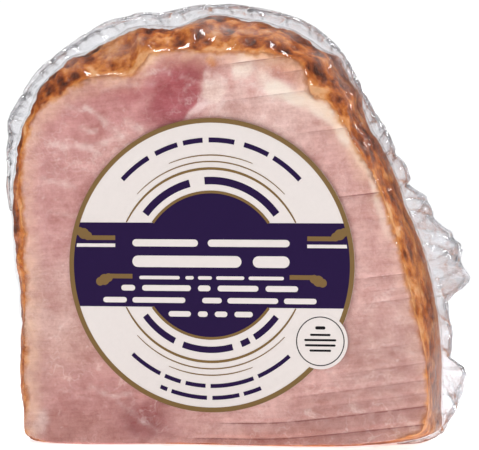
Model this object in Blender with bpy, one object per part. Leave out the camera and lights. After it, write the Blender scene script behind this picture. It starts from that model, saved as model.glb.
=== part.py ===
"""A quarter of a glazed, sliced ham, boned and sealed in clear vacuum film, with a round label on its cut face.

The ham stands on its flat butt cut. Its own frame has +X to the right of the cut face, +Y into the ham and +Z up, and the
cut face is modelled in the plane Y = 0. At the end everything is moved so that the origin is the middle of the bounding box
at the floor. Lengths are in metres, and sizes that are easier to read in millimetres are given times MM.
"""

import math

import bmesh
import bpy
import numpy as np
from mathutils import Vector, noise

MM = 0.001
GAP = 0.3 * MM

# The cut face's rim as x and z in mm, going anticlockwise from the lower left corner.
FACE_RIM = [
    (-69, 1.5), (-17, 1), (38, 1.5), (62, 4.5), (69.5, 10), (70, 30), (65.5, 49), (60.5, 69), (54, 88.5),
    (43, 108.5), (36, 118.5), (29.5, 123), (26.5, 131), (17, 136), (-8, 137.5), (-26, 137), (-35.5, 129.5),
    (-48, 128.5), (-66.5, 119), (-74.3, 104), (-75.4, 88), (-73.7, 60), (-73.7, 17),
]
# The crust's widest outline, behind the face, in the same order.
CRUST_GIRTH = [
    (-69, 0), (-17, 0), (38, 0), (66.5, 4), (70, 14), (69, 43.5), (63.5, 66), (57.6, 84), (49.6, 103), (38.7, 125.7),
    (30.5, 137.4), (17, 145.5), (-9, 150), (-25, 145.5), (-38, 145.5), (-62, 133), (-74, 118), (-80.8, 92),
    (-78.3, 64.5), (-77.3, 26), (-74.5, 6),
]
# All directions round the ham are counted from this point of the face, in mm.
FACE_CENTRE = (-2.5, 62)
# The ham is widest this far behind the face at its left and at its right, and its back is HAM_DEPTH behind the face.
GIRTH_DEPTH_LEFT, GIRTH_DEPTH_RIGHT = 8.5 * MM, 19 * MM
LEFT_X, RIGHT_X = -78 * MM, 9 * MM
HAM_DEPTH = 77.5 * MM
BACK_POINT_X = -2.5 * MM
# The angle between the face and the crust at the knife's edge, and how square the dome of the back is.
RIM_ANGLE = math.radians(32)
BACK_FULLNESS = 0.86

# The crust's relief: broad swells and small crags over heights, and knobs along the top as x, z, radius and height in mm.
SWELL_SIZE, SWELL_HEIGHT = 26 * MM, 1.7 * MM
CRAG_SIZE, CRAG_HEIGHT = 8 * MM, 1.3 * MM
CRAG_SHARE_LOW = 0.35
CRAGS_GROW_FROM, CRAGS_GROW_TO = 60 * MM, 130 * MM
CRAGS_END_FROM, CRAGS_END_TO = 22 * MM, 52 * MM
KNOBS = [
    (5, 140.5, 5.5, 2.2), (-10.5, 143, 6.5, 1.9), (14, 141, 5, 1.7), (-31, 140.5, 7, 1.6), (31, 133.5, 5.5, 1.9),
    (39.5, 121.5, 5, 1.6), (-45, 134.5, 7.5, -1.4), (23, 138, 4.5, -1.2),
]
KNOBS_REACH = 36 * MM
# The foot is flat up to the first height, and the relief is at its full height from the second one up.
RELIEF_FROM, RELIEF_FULL = 1 * MM, 10 * MM

# Columns round the ham, set closer over the top, and the rings of the face, the shoulder and the back.
COLUMNS = 104
TOP_CROWDING = 0.55
TOP_FROM, TOP_TO = 77 * MM, 129 * MM
FACE_RINGS = (0.45, 0.85, 1.0)
SHOULDER_RINGS = 6
BACK_RINGS = 11
CURVE_STEPS = 24
MERGE = 0.02 * MM

# The steps between slices: height where each is level, x where it begins, and depth, in mm. They run out past the right
# rim, level at first and then climbing to the right.
SLICES = [
    (3.9, -20, 1.3), (8.7, -12, 1.0), (12.9, 16, 0.6), (16, 14, 0.7), (20.3, 28, 0.7), (25.9, 36, 0.4),
    (38.6, 38, 0.4), (42.2, 38, 0.3), (46.8, 36, 0.6), (56.2, 44, 0.3), (66.9, 40, 0.3), (75.2, 30, 0.9),
    (98.8, 16, 0.4), (113.3, -10, 0.4), (120.8, 8, 0.5), (126, -10, 0.7),
]
SLICE_END_X = 83
SLICE_CLIMB = 0.118
CLIMB_FROM_X_LOW, CLIMB_FROM_X_HIGH = 18, -60
CLIMB_FROM_LOW_Z, CLIMB_FROM_HIGH_Z = 4, 60
CLIMB_EASE = 8
SLICE_FADE = 18
SLICE_STATIONS = 9
# Each step's sloping side is this long, plus so many times its depth. Its cutter stands this proud of the face.
SLOPE_LEAST, SLOPE_PER_DEPTH = 2.8, 1.9
CUTTER_PROUD = 1.2
CUTTER_LEAN = 0.05
CUTTER_START = -0.3

# The loose margin where the bag's two films meet: directions in degrees, and its width past the crust there in mm.
MARGIN = [
    (-46, 0.4), (-42, 1.6), (-38, 1.8), (-35.5, 4.6), (-32.1, 7.8), (-29, 9.4), (-26, 11.1), (-23.6, 12.4),
    (-22.6, 11.4), (-21.6, 5.6), (-20, 6.4), (-15.4, 6.7), (-12.4, 6.2), (-8.6, 6.1), (-6.2, 9.5), (-4.6, 13.8),
    (-3.1, 16), (-1.6, 17.1), (0, 16.6), (1.5, 15.2), (3.1, 16.3), (4.6, 16.8), (6.1, 16.1), (7.6, 13.6), (9.2, 14.5),
    (10.7, 12.4), (12.3, 10.7), (13.8, 9.4), (15.3, 10.3), (16.9, 10), (18.4, 8.9), (19.9, 9.3), (21.6, 7.8),
    (23.1, 6.3), (24.7, 5.2), (26.2, 6.7), (29.3, 7), (32.4, 6.1), (34, 4.8), (36, 5.6), (39, 5.9), (48, 4.5),
    (57, 4.7), (66, 4.5), (76, 4.5), (85, 4.6), (90, 4.4), (94, 3.7), (98.5, 4.6), (103, 6), (108, 5.8), (112, 4.2),
    (117, 5.2), (121, 5.1), (129, 4), (138, 3.8), (147, 5.7), (156, 1.5), (166, 0.5),
]
MARGIN_THICK = 0.9 * MM
MARGIN_ROOT = 4.5 * MM
MARGIN_AHEAD = 1.5 * MM
MARGIN_COLUMNS = 190
MARGIN_ROWS = 4
# Where the margin is CREASED_WIDTH wide its creases stand out by CREASE_SWING, and more by this power where it is wider.
CREASE_SWING, CREASED_WIDTH, CREASE_POWER = 0.9 * MM, 5 * MM, 1.4
CREASE_SPACING = (3 * MM, 9 * MM)
CREASE_LEAST = 0.35
LOBE_SPACING = (5 * MM, 15 * MM)
LOBE_SHARE, LOBE_LEAST = 0.13, 0.1
# Up to this direction MARGIN draws each lobe itself, and past it the lobes are scattered.
LOBES_DRAWN_TO = math.radians(37)
CREASE_SEED = 7

# The round label and its small round tab, one sheet on the cut face, with centres as x and z in mm.
LABEL_CENTRE, LABEL_RADIUS = (-6, 63.2), 50.8 * MM
TAB_CENTRE, TAB_RADIUS = (32.8, 37.4), 9.6 * MM
LABEL_THICK = 0.6 * MM
LABEL_STEPS, TAB_STEPS = 88, 26

MEAT_COLOUR, MEAT_ROUGHNESS = (0.62, 0.34, 0.30, 1.0), 0.22
PAPER_COLOUR, PAPER_ROUGHNESS = (0.84, 0.79, 0.75, 1.0), 0.45
SHARP_ANGLE = math.radians(40)


def empty_the_scene():
    """Removes whatever the file holds."""
    for thing in list(bpy.data.objects):
        bpy.data.objects.remove(thing)


def finish(thing, material_name, colour, roughness):
    """Gives the object its one Principled material, and smooth shading up to its sharp edges."""
    material = bpy.data.materials.new(material_name)
    material.use_nodes = True
    shader = material.node_tree.nodes["Principled BSDF"]
    shader.inputs["Base Color"].default_value = colour
    shader.inputs["Roughness"].default_value = roughness
    shader.inputs["Metallic"].default_value = 0.0
    thing.data.materials.clear()
    thing.data.materials.append(material)
    thing.data.shade_smooth()
    thing.data.set_sharp_from_angle(angle=SHARP_ANGLE)


def mesh_object(name, vertices, faces):
    """A mesh object whose faces all point out."""
    mesh = bpy.data.meshes.new(name)
    mesh.from_pydata([tuple(v) for v in vertices], [], faces)
    made = bmesh.new()
    made.from_mesh(mesh)
    bmesh.ops.remove_doubles(made, verts=made.verts, dist=MERGE)
    bmesh.ops.recalc_face_normals(made, faces=made.faces)
    made.to_mesh(mesh)
    made.free()
    thing = bpy.data.objects.new(name, mesh)
    bpy.context.scene.collection.objects.link(thing)
    return thing


def smooth_step(value, low, high):
    """0 below low, 1 above high and a smooth rise between them."""
    t = np.clip((value - low) / (high - low), 0, 1)
    return t * t * (3 - 2 * t)


def closed_curve(points):
    """A smooth closed curve through the points, by Catmull and Rom's formula."""
    p = np.array(points, float)
    before, after, second = np.roll(p, 1, 0), np.roll(p, -1, 0), np.roll(p, -2, 0)
    t = np.linspace(0, 1, CURVE_STEPS, endpoint=False)[None, :, None]
    p, before, after, second = (side[:, None, :] for side in (p, before, after, second))
    curve = 2 * p + (after - before) * t
    curve = curve + (2 * before - 5 * p + 4 * after - second) * t**2
    curve = curve + (3 * p - before - 3 * after + second) * t**3
    return 0.5 * curve.reshape(-1, 2)


def reach(points, angles):
    """How far the closed curve through the points lies from the face's centre in each direction."""
    spokes = closed_curve(points) - np.array(FACE_CENTRE)
    turn = np.arctan2(spokes[:, 1], spokes[:, 0])
    order = np.argsort(turn)
    return np.interp(angles, turn[order], np.hypot(*spokes.T)[order], period=2 * math.pi) * MM


def in_plane(angles, distance):
    """The x and z of points at a distance from the face's centre, kept at or above the floor."""
    x = FACE_CENTRE[0] * MM + np.cos(angles) * distance
    z = FACE_CENTRE[1] * MM + np.sin(angles) * distance
    return x, np.maximum(z, 0.0)


def girth_depth(x):
    """How far behind the face the ham is widest."""
    return GIRTH_DEPTH_LEFT + (GIRTH_DEPTH_RIGHT - GIRTH_DEPTH_LEFT) * smooth_step(x, LEFT_X, RIGHT_X)


def column_angles():
    """Directions of the columns: evenly spaced along the girth, and closer together over the craggy top."""
    fine = np.linspace(-math.pi, math.pi, 2001)
    x, z = in_plane(fine, reach(CRUST_GIRTH, fine))
    high = np.clip((z[:-1] - TOP_FROM) / (TOP_TO - TOP_FROM), 0, 1)
    steps = np.hypot(np.diff(x), np.diff(z)) * (1 + TOP_CROWDING * high)
    length = np.concatenate([[0], np.cumsum(steps)])
    return np.interp(np.arange(COLUMNS) / COLUMNS * length[-1], length, fine)


def ham_rings():
    """The ham's surface as rings of points, from the cut face to the back, each ring with one point in every column."""
    angles = column_angles()
    rim, girth = reach(FACE_RIM, angles), reach(CRUST_GIRTH, angles)
    rings = []
    for share in FACE_RINGS:
        x, z = in_plane(angles, rim * share)
        rings.append(np.column_stack([x, np.zeros(COLUMNS), z]))
    for turn in np.linspace(RIM_ANGLE, math.pi / 2, SHOULDER_RINGS + 1)[1:]:
        outward = (math.sin(turn) - math.sin(RIM_ANGLE)) / (1 - math.sin(RIM_ANGLE))
        x, z = in_plane(angles, rim + (girth - rim) * outward)
        y = girth_depth(x) * (1 - math.cos(turn) / math.cos(RIM_ANGLE))
        rings.append(np.column_stack([x, y, z]))
    widest = rings[-1]
    for turn in np.linspace(0, math.pi / 2, BACK_RINGS + 1)[1:-1]:
        ring = widest.copy()
        kept = math.cos(turn) ** BACK_FULLNESS
        ring[:, 0] = BACK_POINT_X + (widest[:, 0] - BACK_POINT_X) * kept
        ring[:, 1] += (HAM_DEPTH - widest[:, 1]) * math.sin(turn) ** BACK_FULLNESS
        ring[:, 2] *= kept
        rings.append(ring)
    return np.array(rings)


def crust_relief(point):
    """How far the browned crust stands out at a point."""
    swell = noise.noise(point / SWELL_SIZE) * SWELL_HEIGHT
    crag = noise.fractal(point / CRAG_SIZE, 0.9, 2.1, 3) * CRAG_HEIGHT
    crag *= 1 - smooth_step(point.y, CRAGS_END_FROM, CRAGS_END_TO)
    crag *= CRAG_SHARE_LOW + (1 - CRAG_SHARE_LOW) * smooth_step(point.z, CRAGS_GROW_FROM, CRAGS_GROW_TO)
    knobs = 0.0
    for x, z, radius, height in KNOBS:
        away = math.hypot(point.x - x * MM, point.z - z * MM) / (radius * MM)
        if away < 1 and point.y < KNOBS_REACH:
            knobs += height * MM * (1 - away * away) ** 2
    return swell + crag + knobs


def with_relief(rings):
    """The rings with the crust's relief added along their normals. The cut face and the foot stay flat."""
    along = np.roll(rings, -1, 1) - np.roll(rings, 1, 1)
    normals = np.cross(np.gradient(rings, axis=0), along)
    normals /= np.linalg.norm(normals, axis=2, keepdims=True)
    inside = np.array([BACK_POINT_X, GIRTH_DEPTH_RIGHT, FACE_CENTRE[1] * MM])
    normals *= np.sign((normals * (rings - inside)).sum(2, keepdims=True))
    raised = rings.copy()
    first = len(FACE_RINGS)
    for k in range(first, len(rings)):
        grown = 0.5 if k == first else 1.0
        lifts = grown * smooth_step(rings[k, :, 2], RELIEF_FROM, RELIEF_FULL)
        for j in np.flatnonzero(lifts):
            raised[k, j] += normals[k, j] * lifts[j] * crust_relief(Vector(rings[k, j]))
    raised[:, :, 2] = np.maximum(raised[:, :, 2], 0.0)
    return raised


def ham_body():
    """The ham itself: the flat cut face, the rounded shoulder, the dome of the back and the flat foot."""
    rings = with_relief(ham_rings())
    front = [[FACE_CENTRE[0] * MM, 0, FACE_CENTRE[1] * MM]]
    back = [[BACK_POINT_X, HAM_DEPTH, 0.0]]
    vertices = np.vstack([front, rings.reshape(-1, 3), back])
    faces = []
    last = 1 + (len(rings) - 1) * COLUMNS
    for j in range(COLUMNS):
        after = (j + 1) % COLUMNS
        faces.append((0, 1 + j, 1 + after))
        for low in range(1, last, COLUMNS):
            high = low + COLUMNS
            faces.append((low + j, high + j, high + after, low + after))
        faces.append((last + j, len(vertices) - 1, last + after))
    return mesh_object("film_bag", vertices, faces)


def creases(length, spacing, least, seed):
    """A jagged line along a length: straight facets between creases that stand out to the two sides in turn."""
    scatter = np.random.default_rng(seed)
    count = int(length[-1] / spacing[0]) + 2
    places = np.cumsum(scatter.uniform(*spacing, count))
    heights = scatter.uniform(least, 1.0, count) * np.where(np.arange(count) % 2, 1, -1)
    return np.interp(length, places, heights)


def sheet(name, middle, thick):
    """A closed thin sheet: a grid of middle points pushed half its thickness each way along Y, with its edges joined."""
    rows, columns = middle.shape[:2]
    push = np.array([0, thick / 2, 0])
    vertices = np.vstack([(middle - push).reshape(-1, 3), (middle + push).reshape(-1, 3)])
    far = rows * columns
    faces = []
    for r in range(rows - 1):
        for a in range(r * columns, (r + 1) * columns - 1):
            b, c, d = a + 1, a + columns + 1, a + columns
            faces += [(a, b, c), (a, c, d), (a + far, c + far, b + far), (a + far, d + far, c + far)]
    right = [r * columns + columns - 1 for r in range(1, rows)]
    top = [far - 1 - c for c in range(1, columns)]
    left = [r * columns for r in range(rows - 2, 0, -1)]
    border = list(range(columns)) + right + top + left
    for a, b in zip(border, border[1:] + border[:1]):
        faces += [(a, a + far, b + far), (a, b + far, b)]
    return mesh_object(name, vertices, faces)


def film_margin():
    """The loose margin: a creased sheet that stands out round the ham's girth, widest at the bag's two right corners."""
    directions, widths = np.array(MARGIN).T
    angles = np.radians(np.linspace(directions[0], directions[-1], MARGIN_COLUMNS))
    width = np.interp(angles, np.radians(directions), widths) * MM
    girth = reach(CRUST_GIRTH, angles)
    x, z = in_plane(angles, girth)
    length = np.concatenate([[0], np.cumsum(np.hypot(np.diff(x), np.diff(z)))])
    depth = girth_depth(x) - MARGIN_AHEAD
    swing = CREASE_SWING * (width / CREASED_WIDTH) ** CREASE_POWER
    root_fold = creases(length, CREASE_SPACING, CREASE_LEAST, CREASE_SEED)
    edge_fold = creases(length, CREASE_SPACING, CREASE_LEAST, CREASE_SEED + 1)
    scattered = np.where(angles > LOBES_DRAWN_TO, LOBE_SHARE, 0)
    lobes = 1 + scattered * creases(length, LOBE_SPACING, LOBE_LEAST, CREASE_SEED + 2)
    rows = []
    for share in np.linspace(0, 1, MARGIN_ROWS + 1):
        past = (MARGIN_ROOT + width * lobes) * share - MARGIN_ROOT
        x, z = in_plane(angles, girth + past)
        loose = np.clip(past / width, 0, 1)
        fold = root_fold * (1 - share) + edge_fold * share
        rows.append(np.column_stack([x, depth + swing * loose * fold, z]))
    return sheet("film_margin", np.array(rows), MARGIN_THICK)


def slice_line(height, x):
    """The z of a slice's line at x, in mm. Near the foot the line is level for longer before it climbs."""
    z = height
    for _ in range(12):
        high = smooth_step(z, CLIMB_FROM_LOW_Z, CLIMB_FROM_HIGH_Z)
        along = x - (CLIMB_FROM_X_LOW + (CLIMB_FROM_X_HIGH - CLIMB_FROM_X_LOW) * high)
        z = height + SLICE_CLIMB * 0.5 * (along + math.hypot(along, CLIMB_EASE))
    return z


def slice_cutter(height, start, depth):
    """A wedge that cuts one step: steep under the slice above, and sloping out over the slice below."""
    slope = SLOPE_LEAST + SLOPE_PER_DEPTH * depth
    vertices, faces = [], []
    for x in np.linspace(start, SLICE_END_X, SLICE_STATIONS):
        grown = smooth_step(x, start, start + SLICE_FADE)
        deep = CUTTER_START + (depth - CUTTER_START) * grown
        z = slice_line(height, x)
        corners = [(-CUTTER_PROUD, z + CUTTER_LEAN), (deep, z), (-CUTTER_PROUD, z - slope)]
        vertices += [(x * MM, y * MM, edge_z * MM) for y, edge_z in corners]
    last = 3 * (SLICE_STATIONS - 1)
    for base in range(0, last, 3):
        for a, b in ((0, 1), (1, 2), (2, 0)):
            faces.append((base + a, base + b, base + 3 + b, base + 3 + a))
    faces += [(2, 1, 0), (last, last + 1, last + 2)]
    return mesh_object("slice_cutter", vertices, faces)


def boolean_with(target, tools, operation):
    """Joins the tools to the target or cuts them from it, as one collection, and removes them."""
    group = bpy.data.collections.new("tools")
    bpy.context.scene.collection.children.link(group)
    for tool in tools:
        bpy.context.scene.collection.objects.unlink(tool)
        group.objects.link(tool)
    modifier = target.modifiers.new(operation, "BOOLEAN")
    modifier.operation = operation
    modifier.operand_type = "COLLECTION"
    modifier.collection = group
    graph = bpy.context.evaluated_depsgraph_get()
    result = bpy.data.meshes.new_from_object(target.evaluated_get(graph))
    target.modifiers.clear()
    target.data = result
    for tool in tools:
        bpy.data.objects.remove(tool)
    bpy.data.collections.remove(group)


def film_bag():
    """The sealed bag as one solid: the ham's form with the film's loose margin, and the steps between its slices."""
    bag = ham_body()
    boolean_with(bag, [film_margin()], "UNION")
    boolean_with(bag, [slice_cutter(*sizes) for sizes in SLICES], "DIFFERENCE")
    finish(bag, "ham_in_film", MEAT_COLOUR, MEAT_ROUGHNESS)
    return bag


def label_outline():
    """The label's outline as x and z: its circle, and the tab's circle where that stands out past it."""
    centre, tab = np.array(LABEL_CENTRE) * MM, np.array(TAB_CENTRE) * MM
    between = math.dist(centre, tab)
    aim = math.atan2(tab[1] - centre[1], tab[0] - centre[0])
    along = (between**2 + LABEL_RADIUS**2 - TAB_RADIUS**2) / (2 * between)
    label_gap = math.acos(along / LABEL_RADIUS)
    tab_gap = math.acos((between - along) / TAB_RADIUS)
    label_turns = np.linspace(label_gap, 2 * math.pi - label_gap, LABEL_STEPS, endpoint=False) + aim
    tab_turns = np.linspace(tab_gap - math.pi, math.pi - tab_gap, TAB_STEPS, endpoint=False) + aim
    outline = [centre + LABEL_RADIUS * np.array([math.cos(t), math.sin(t)]) for t in label_turns]
    outline += [tab + TAB_RADIUS * np.array([math.cos(t), math.sin(t)]) for t in tab_turns]
    return outline


def label():
    """The paper label, a thin flat sheet that lies on the film over the cut face."""
    made = bmesh.new()
    back = made.faces.new([made.verts.new((x, -GAP, z)) for x, z in label_outline()])
    front = bmesh.ops.extrude_face_region(made, geom=[back])["geom"]
    moved = [part for part in front if isinstance(part, bmesh.types.BMVert)]
    bmesh.ops.translate(made, vec=(0, -LABEL_THICK, 0), verts=moved)
    bmesh.ops.triangulate(made, faces=[face for face in made.faces if len(face.verts) > 4])
    bmesh.ops.recalc_face_normals(made, faces=made.faces)
    mesh = bpy.data.meshes.new("label")
    made.to_mesh(mesh)
    made.free()
    paper = bpy.data.objects.new("label", mesh)
    bpy.context.scene.collection.objects.link(paper)
    finish(paper, "label_paper", PAPER_COLOUR, PAPER_ROUGHNESS)
    return paper


def put_on_origin(things):
    """Moves the meshes so that the origin is the middle of their bounding box at the floor."""
    points = np.array([vertex.co for thing in things for vertex in thing.data.vertices])
    low, high = points.min(0), points.max(0)
    shift = Vector((-(low[0] + high[0]) / 2, -(low[1] + high[1]) / 2, -low[2]))
    for thing in things:
        for vertex in thing.data.vertices:
            vertex.co += shift


def main():
    """Builds the bag and its label."""
    empty_the_scene()
    put_on_origin([film_bag(), label()])


main()
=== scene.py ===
"""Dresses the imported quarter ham: browned crust and sliced meat under clear vacuum film, with a round label.

While a piece is being shaped, its lengths are in millimetres in the cut face's own frame: x to the right of
the face, y into the ham and z up, with the face in the plane y = 0. Own.place turns them into metres in the
model's frame.
"""

import logging
import math
from dataclasses import dataclass, field
from enum import Enum

import bmesh
import bpy
import numpy as np
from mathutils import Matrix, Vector, noise
from mathutils.kdtree import KDTree


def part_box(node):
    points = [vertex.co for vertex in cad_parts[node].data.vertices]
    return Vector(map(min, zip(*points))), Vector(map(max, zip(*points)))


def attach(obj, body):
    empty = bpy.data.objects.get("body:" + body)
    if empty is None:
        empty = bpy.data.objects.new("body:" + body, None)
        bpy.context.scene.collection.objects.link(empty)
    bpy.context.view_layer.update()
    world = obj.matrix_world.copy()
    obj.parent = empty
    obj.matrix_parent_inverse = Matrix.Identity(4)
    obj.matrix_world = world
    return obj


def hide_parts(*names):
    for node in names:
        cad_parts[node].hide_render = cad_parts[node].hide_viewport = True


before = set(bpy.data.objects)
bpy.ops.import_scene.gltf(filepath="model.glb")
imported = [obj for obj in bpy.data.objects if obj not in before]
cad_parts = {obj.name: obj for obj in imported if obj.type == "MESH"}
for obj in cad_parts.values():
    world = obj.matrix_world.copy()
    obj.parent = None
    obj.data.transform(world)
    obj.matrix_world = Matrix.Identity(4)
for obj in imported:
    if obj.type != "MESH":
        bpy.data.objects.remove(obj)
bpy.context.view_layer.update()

LOG = logging.getLogger("ham")
MM = 0.001
BODY = "root"
NOISE_SEED = 7
Tree = bpy.types.NodeTree
Socket = bpy.types.NodeSocket


class Way(Enum):
    """The ways in which a node puts its inputs together, by the node's settings."""

    ADDED = {"operation": "ADD"}
    SUBTRACTED = {"operation": "SUBTRACT"}
    TIMES = {"operation": "MULTIPLY"}
    TIMES_UP_TO_ONE = {"operation": "MULTIPLY", "use_clamp": True}
    TIMES_AND_ADDED = {"operation": "MULTIPLY_ADD"}
    TIMES_AND_ADDED_UP_TO_ONE = {"operation": "MULTIPLY_ADD", "use_clamp": True}
    LAID_OVER = {"data_type": "RGBA"}
    TINTED = {"data_type": "RGBA", "blend_type": "MULTIPLY"}
    SMOOTHLY = {"interpolation_type": "SMOOTHSTEP"}


def linear(hex_colour: str) -> tuple[float, float, float, float]:
    """Turns an sRGB hex colour into the linear colour that a shader takes.

    Args:
        hex_colour: Six hex digits with a leading #.

    Returns:
        Red, green, blue and an alpha of 1.
    """
    shares = [int(hex_colour[i : i + 2], 16) / 255 for i in (1, 3, 5)]
    red, green, blue = ((s / 12.92) if s <= 0.04045 else ((s + 0.055) / 1.055) ** 2.4 for s in shares)
    return red, green, blue, 1.0


def add_node(
    tree: Tree,
    kind: str,
    settings: dict | Way | None = None,
    inputs: dict | tuple = (),
    output: int | str = 0,
) -> Socket | None:
    """Adds one node with its settings and what feeds it.

    Args:
        tree: The tree that the node joins.
        kind: Blender's name of the node's type, without its ShaderNode prefix.
        settings: Attribute values. A ramp's "stops" are pairs of a place and a hex colour.
        inputs: Values or output sockets, in order, or by the name or number of the input socket.
        output: The name or number of the output that is wanted.

    Returns:
        That output, or None from a node without outputs.
    """
    node = tree.nodes.new("ShaderNode" + kind)
    chosen = settings.value if isinstance(settings, Way) else settings or {}
    for name, value in chosen.items():
        if name == "stops":
            stops = list(value)
            ramp = node.color_ramp
            while len(ramp.elements) < len(stops):
                ramp.elements.new(1.0)
            for element, (place, colour) in zip(ramp.elements, stops):
                element.position = place
                element.color = linear(colour)
        else:
            setattr(node, name, value)
    fed = inputs if isinstance(inputs, dict) else dict(enumerate(inputs))
    for name, value in fed.items():
        if isinstance(value, Socket):
            tree.links.new(value, node.inputs[name])
        else:
            node.inputs[name].default_value = value
    return node.outputs[output] if len(node.outputs) else None


def weighted_sum(tree: Tree, parts: list | tuple, weights: tuple, offset: float) -> Socket:
    """Adds several patterns, each times its weight, to an offset.

    Args:
        tree: The material's tree.
        parts: The patterns' output sockets.
        weights: Their weights.
        offset: The number that they are added to.

    Returns:
        The sum.
    """
    total = offset
    for socket, weight in zip(parts, weights):
        total = add_node(tree, "Math", Way.TIMES_AND_ADDED, (socket, weight, total))
    return total


def start_material(name: str) -> tuple[bpy.types.Material, Tree, Socket]:
    """Starts a node material.

    Args:
        name: The material's name.

    Returns:
        The material, its empty tree and the coordinates on the object.
    """
    material = bpy.data.materials.new(name)
    material.use_nodes = True
    tree = material.node_tree
    tree.nodes.clear()
    return material, tree, add_node(tree, "TexCoord", output="Object")


def smooth_step(value: np.ndarray, low: float, high: float) -> np.ndarray:
    """Gives 0 at low, 1 at high and a smooth rise between them."""
    t = np.clip((value - low) / (high - low), 0, 1)
    return t * t * (3 - 2 * t)


def path_length(x: np.ndarray, z: np.ndarray) -> np.ndarray:
    """Gives how far along a line of points each one lies."""
    return np.concatenate([[0], np.cumsum(np.hypot(np.diff(x), np.diff(z)))])


def line_distance(line: tuple, x: np.ndarray, z: np.ndarray) -> np.ndarray:
    """Measures how far points are from a line of straight stretches.

    Args:
        line: The line's own points.
        x: The points' x.
        z: The points' z.

    Returns:
        The distances.
    """
    away = np.full(x.shape, np.inf)
    for (ax, az), (bx, bz) in zip(line, line[1:]):
        run = (bx - ax) ** 2 + (bz - az) ** 2
        t = np.clip(((x - ax) * (bx - ax) + (z - az) * (bz - az)) / run, 0, 1)
        away = np.minimum(away, np.hypot(x - ax - t * (bx - ax), z - az - t * (bz - az)))
    return away


def wander(points: np.ndarray, size: float, reach: float) -> np.ndarray:
    """Pushes each point by up to a reach, in smooth waves of a size."""
    return np.array([noise.noise_vector(Vector(p) / size) for p in points.tolist()]) * reach


def clouds(points: np.ndarray, size: float, evenness: float, finer: float, layers: int) -> np.ndarray:
    """Gives noise at points, whose largest clouds have a size and whose other layers are finer and finer."""
    return np.array([noise.fractal(Vector(p) / size, evenness, finer, layers) for p in points.tolist()])


def crumples(points: np.ndarray) -> np.ndarray:
    """Gives noise with sharp ridges, as in crumpled film, about one unit apart."""
    return np.array([noise.ridged_multi_fractal(Vector(p), 0.9, 2.1, 3, 1.0, 2.0) for p in points.tolist()])


@dataclass(frozen=True)
class Own:
    """The cut face's own frame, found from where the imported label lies."""

    label_centre: tuple[float, float] = (-6.0, 63.2)
    label_radius: float = 50.8
    label_gap: float = 0.3

    def shift(self) -> np.ndarray:
        """Works out where the own frame's origin lies.

        Returns:
            Its x, y and z in the model's frame, in metres.
        """
        low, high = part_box("label")
        x = low.x - (self.label_centre[0] - self.label_radius) * MM
        return np.array([x, high.y + self.label_gap * MM, 0.0])

    def place(self, points: np.ndarray) -> np.ndarray:
        """Turns own millimetres into metres in the model's frame."""
        return np.asarray(points, float) * MM + self.shift()


def put(name: str, data: bpy.types.ID) -> bpy.types.Object:
    """Makes an object of a mesh, a camera or a light, and links it into the scene.

    Args:
        name: The object's name.
        data: What it is made of.

    Returns:
        The object.
    """
    thing = bpy.data.objects.new(name, data)
    bpy.context.scene.collection.objects.link(thing)
    return thing


def mesh_object(name: str, vertices: np.ndarray, faces: list, weld: float = 0.0) -> bpy.types.Object:
    """Makes an object of vertices and faces, with all faces pointing out.

    Args:
        name: The object's name.
        vertices: Points in the scene's units.
        faces: Faces as tuples of vertex numbers.
        weld: Vertices that are closer than this become one.

    Returns:
        The object.
    """
    mesh = bpy.data.meshes.new(name)
    mesh.from_pydata(vertices.tolist(), [], faces)
    made = bmesh.new()
    made.from_mesh(mesh)
    if weld:
        bmesh.ops.remove_doubles(made, verts=made.verts, dist=weld)
    bmesh.ops.recalc_face_normals(made, faces=made.faces)
    made.to_mesh(mesh)
    made.free()
    return put(name, mesh)


def make_piece(name: str, vertices: np.ndarray, faces: list, own: Own) -> bpy.types.Object:
    """Makes a smooth shaded mesh piece of the model.

    Args:
        name: The piece's name.
        vertices: Points in own millimetres.
        faces: Faces as tuples of vertex numbers.
        own: The own frame.

    Returns:
        The piece.
    """
    piece = mesh_object(name, own.place(vertices), faces)
    piece.data.shade_smooth()
    return piece


def store(piece: bpy.types.Object, name: str, values: np.ndarray) -> None:
    """Keeps one number for each vertex, for the material to read."""
    piece.data.attributes.new(name, "FLOAT", "POINT").data.foreach_set("value", values.astype(np.float32))


def report(piece: bpy.types.Object) -> None:
    """Logs a finished piece's name and its number of faces."""
    LOG.info("%s: %d faces", piece.name, len(piece.data.polygons))


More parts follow.
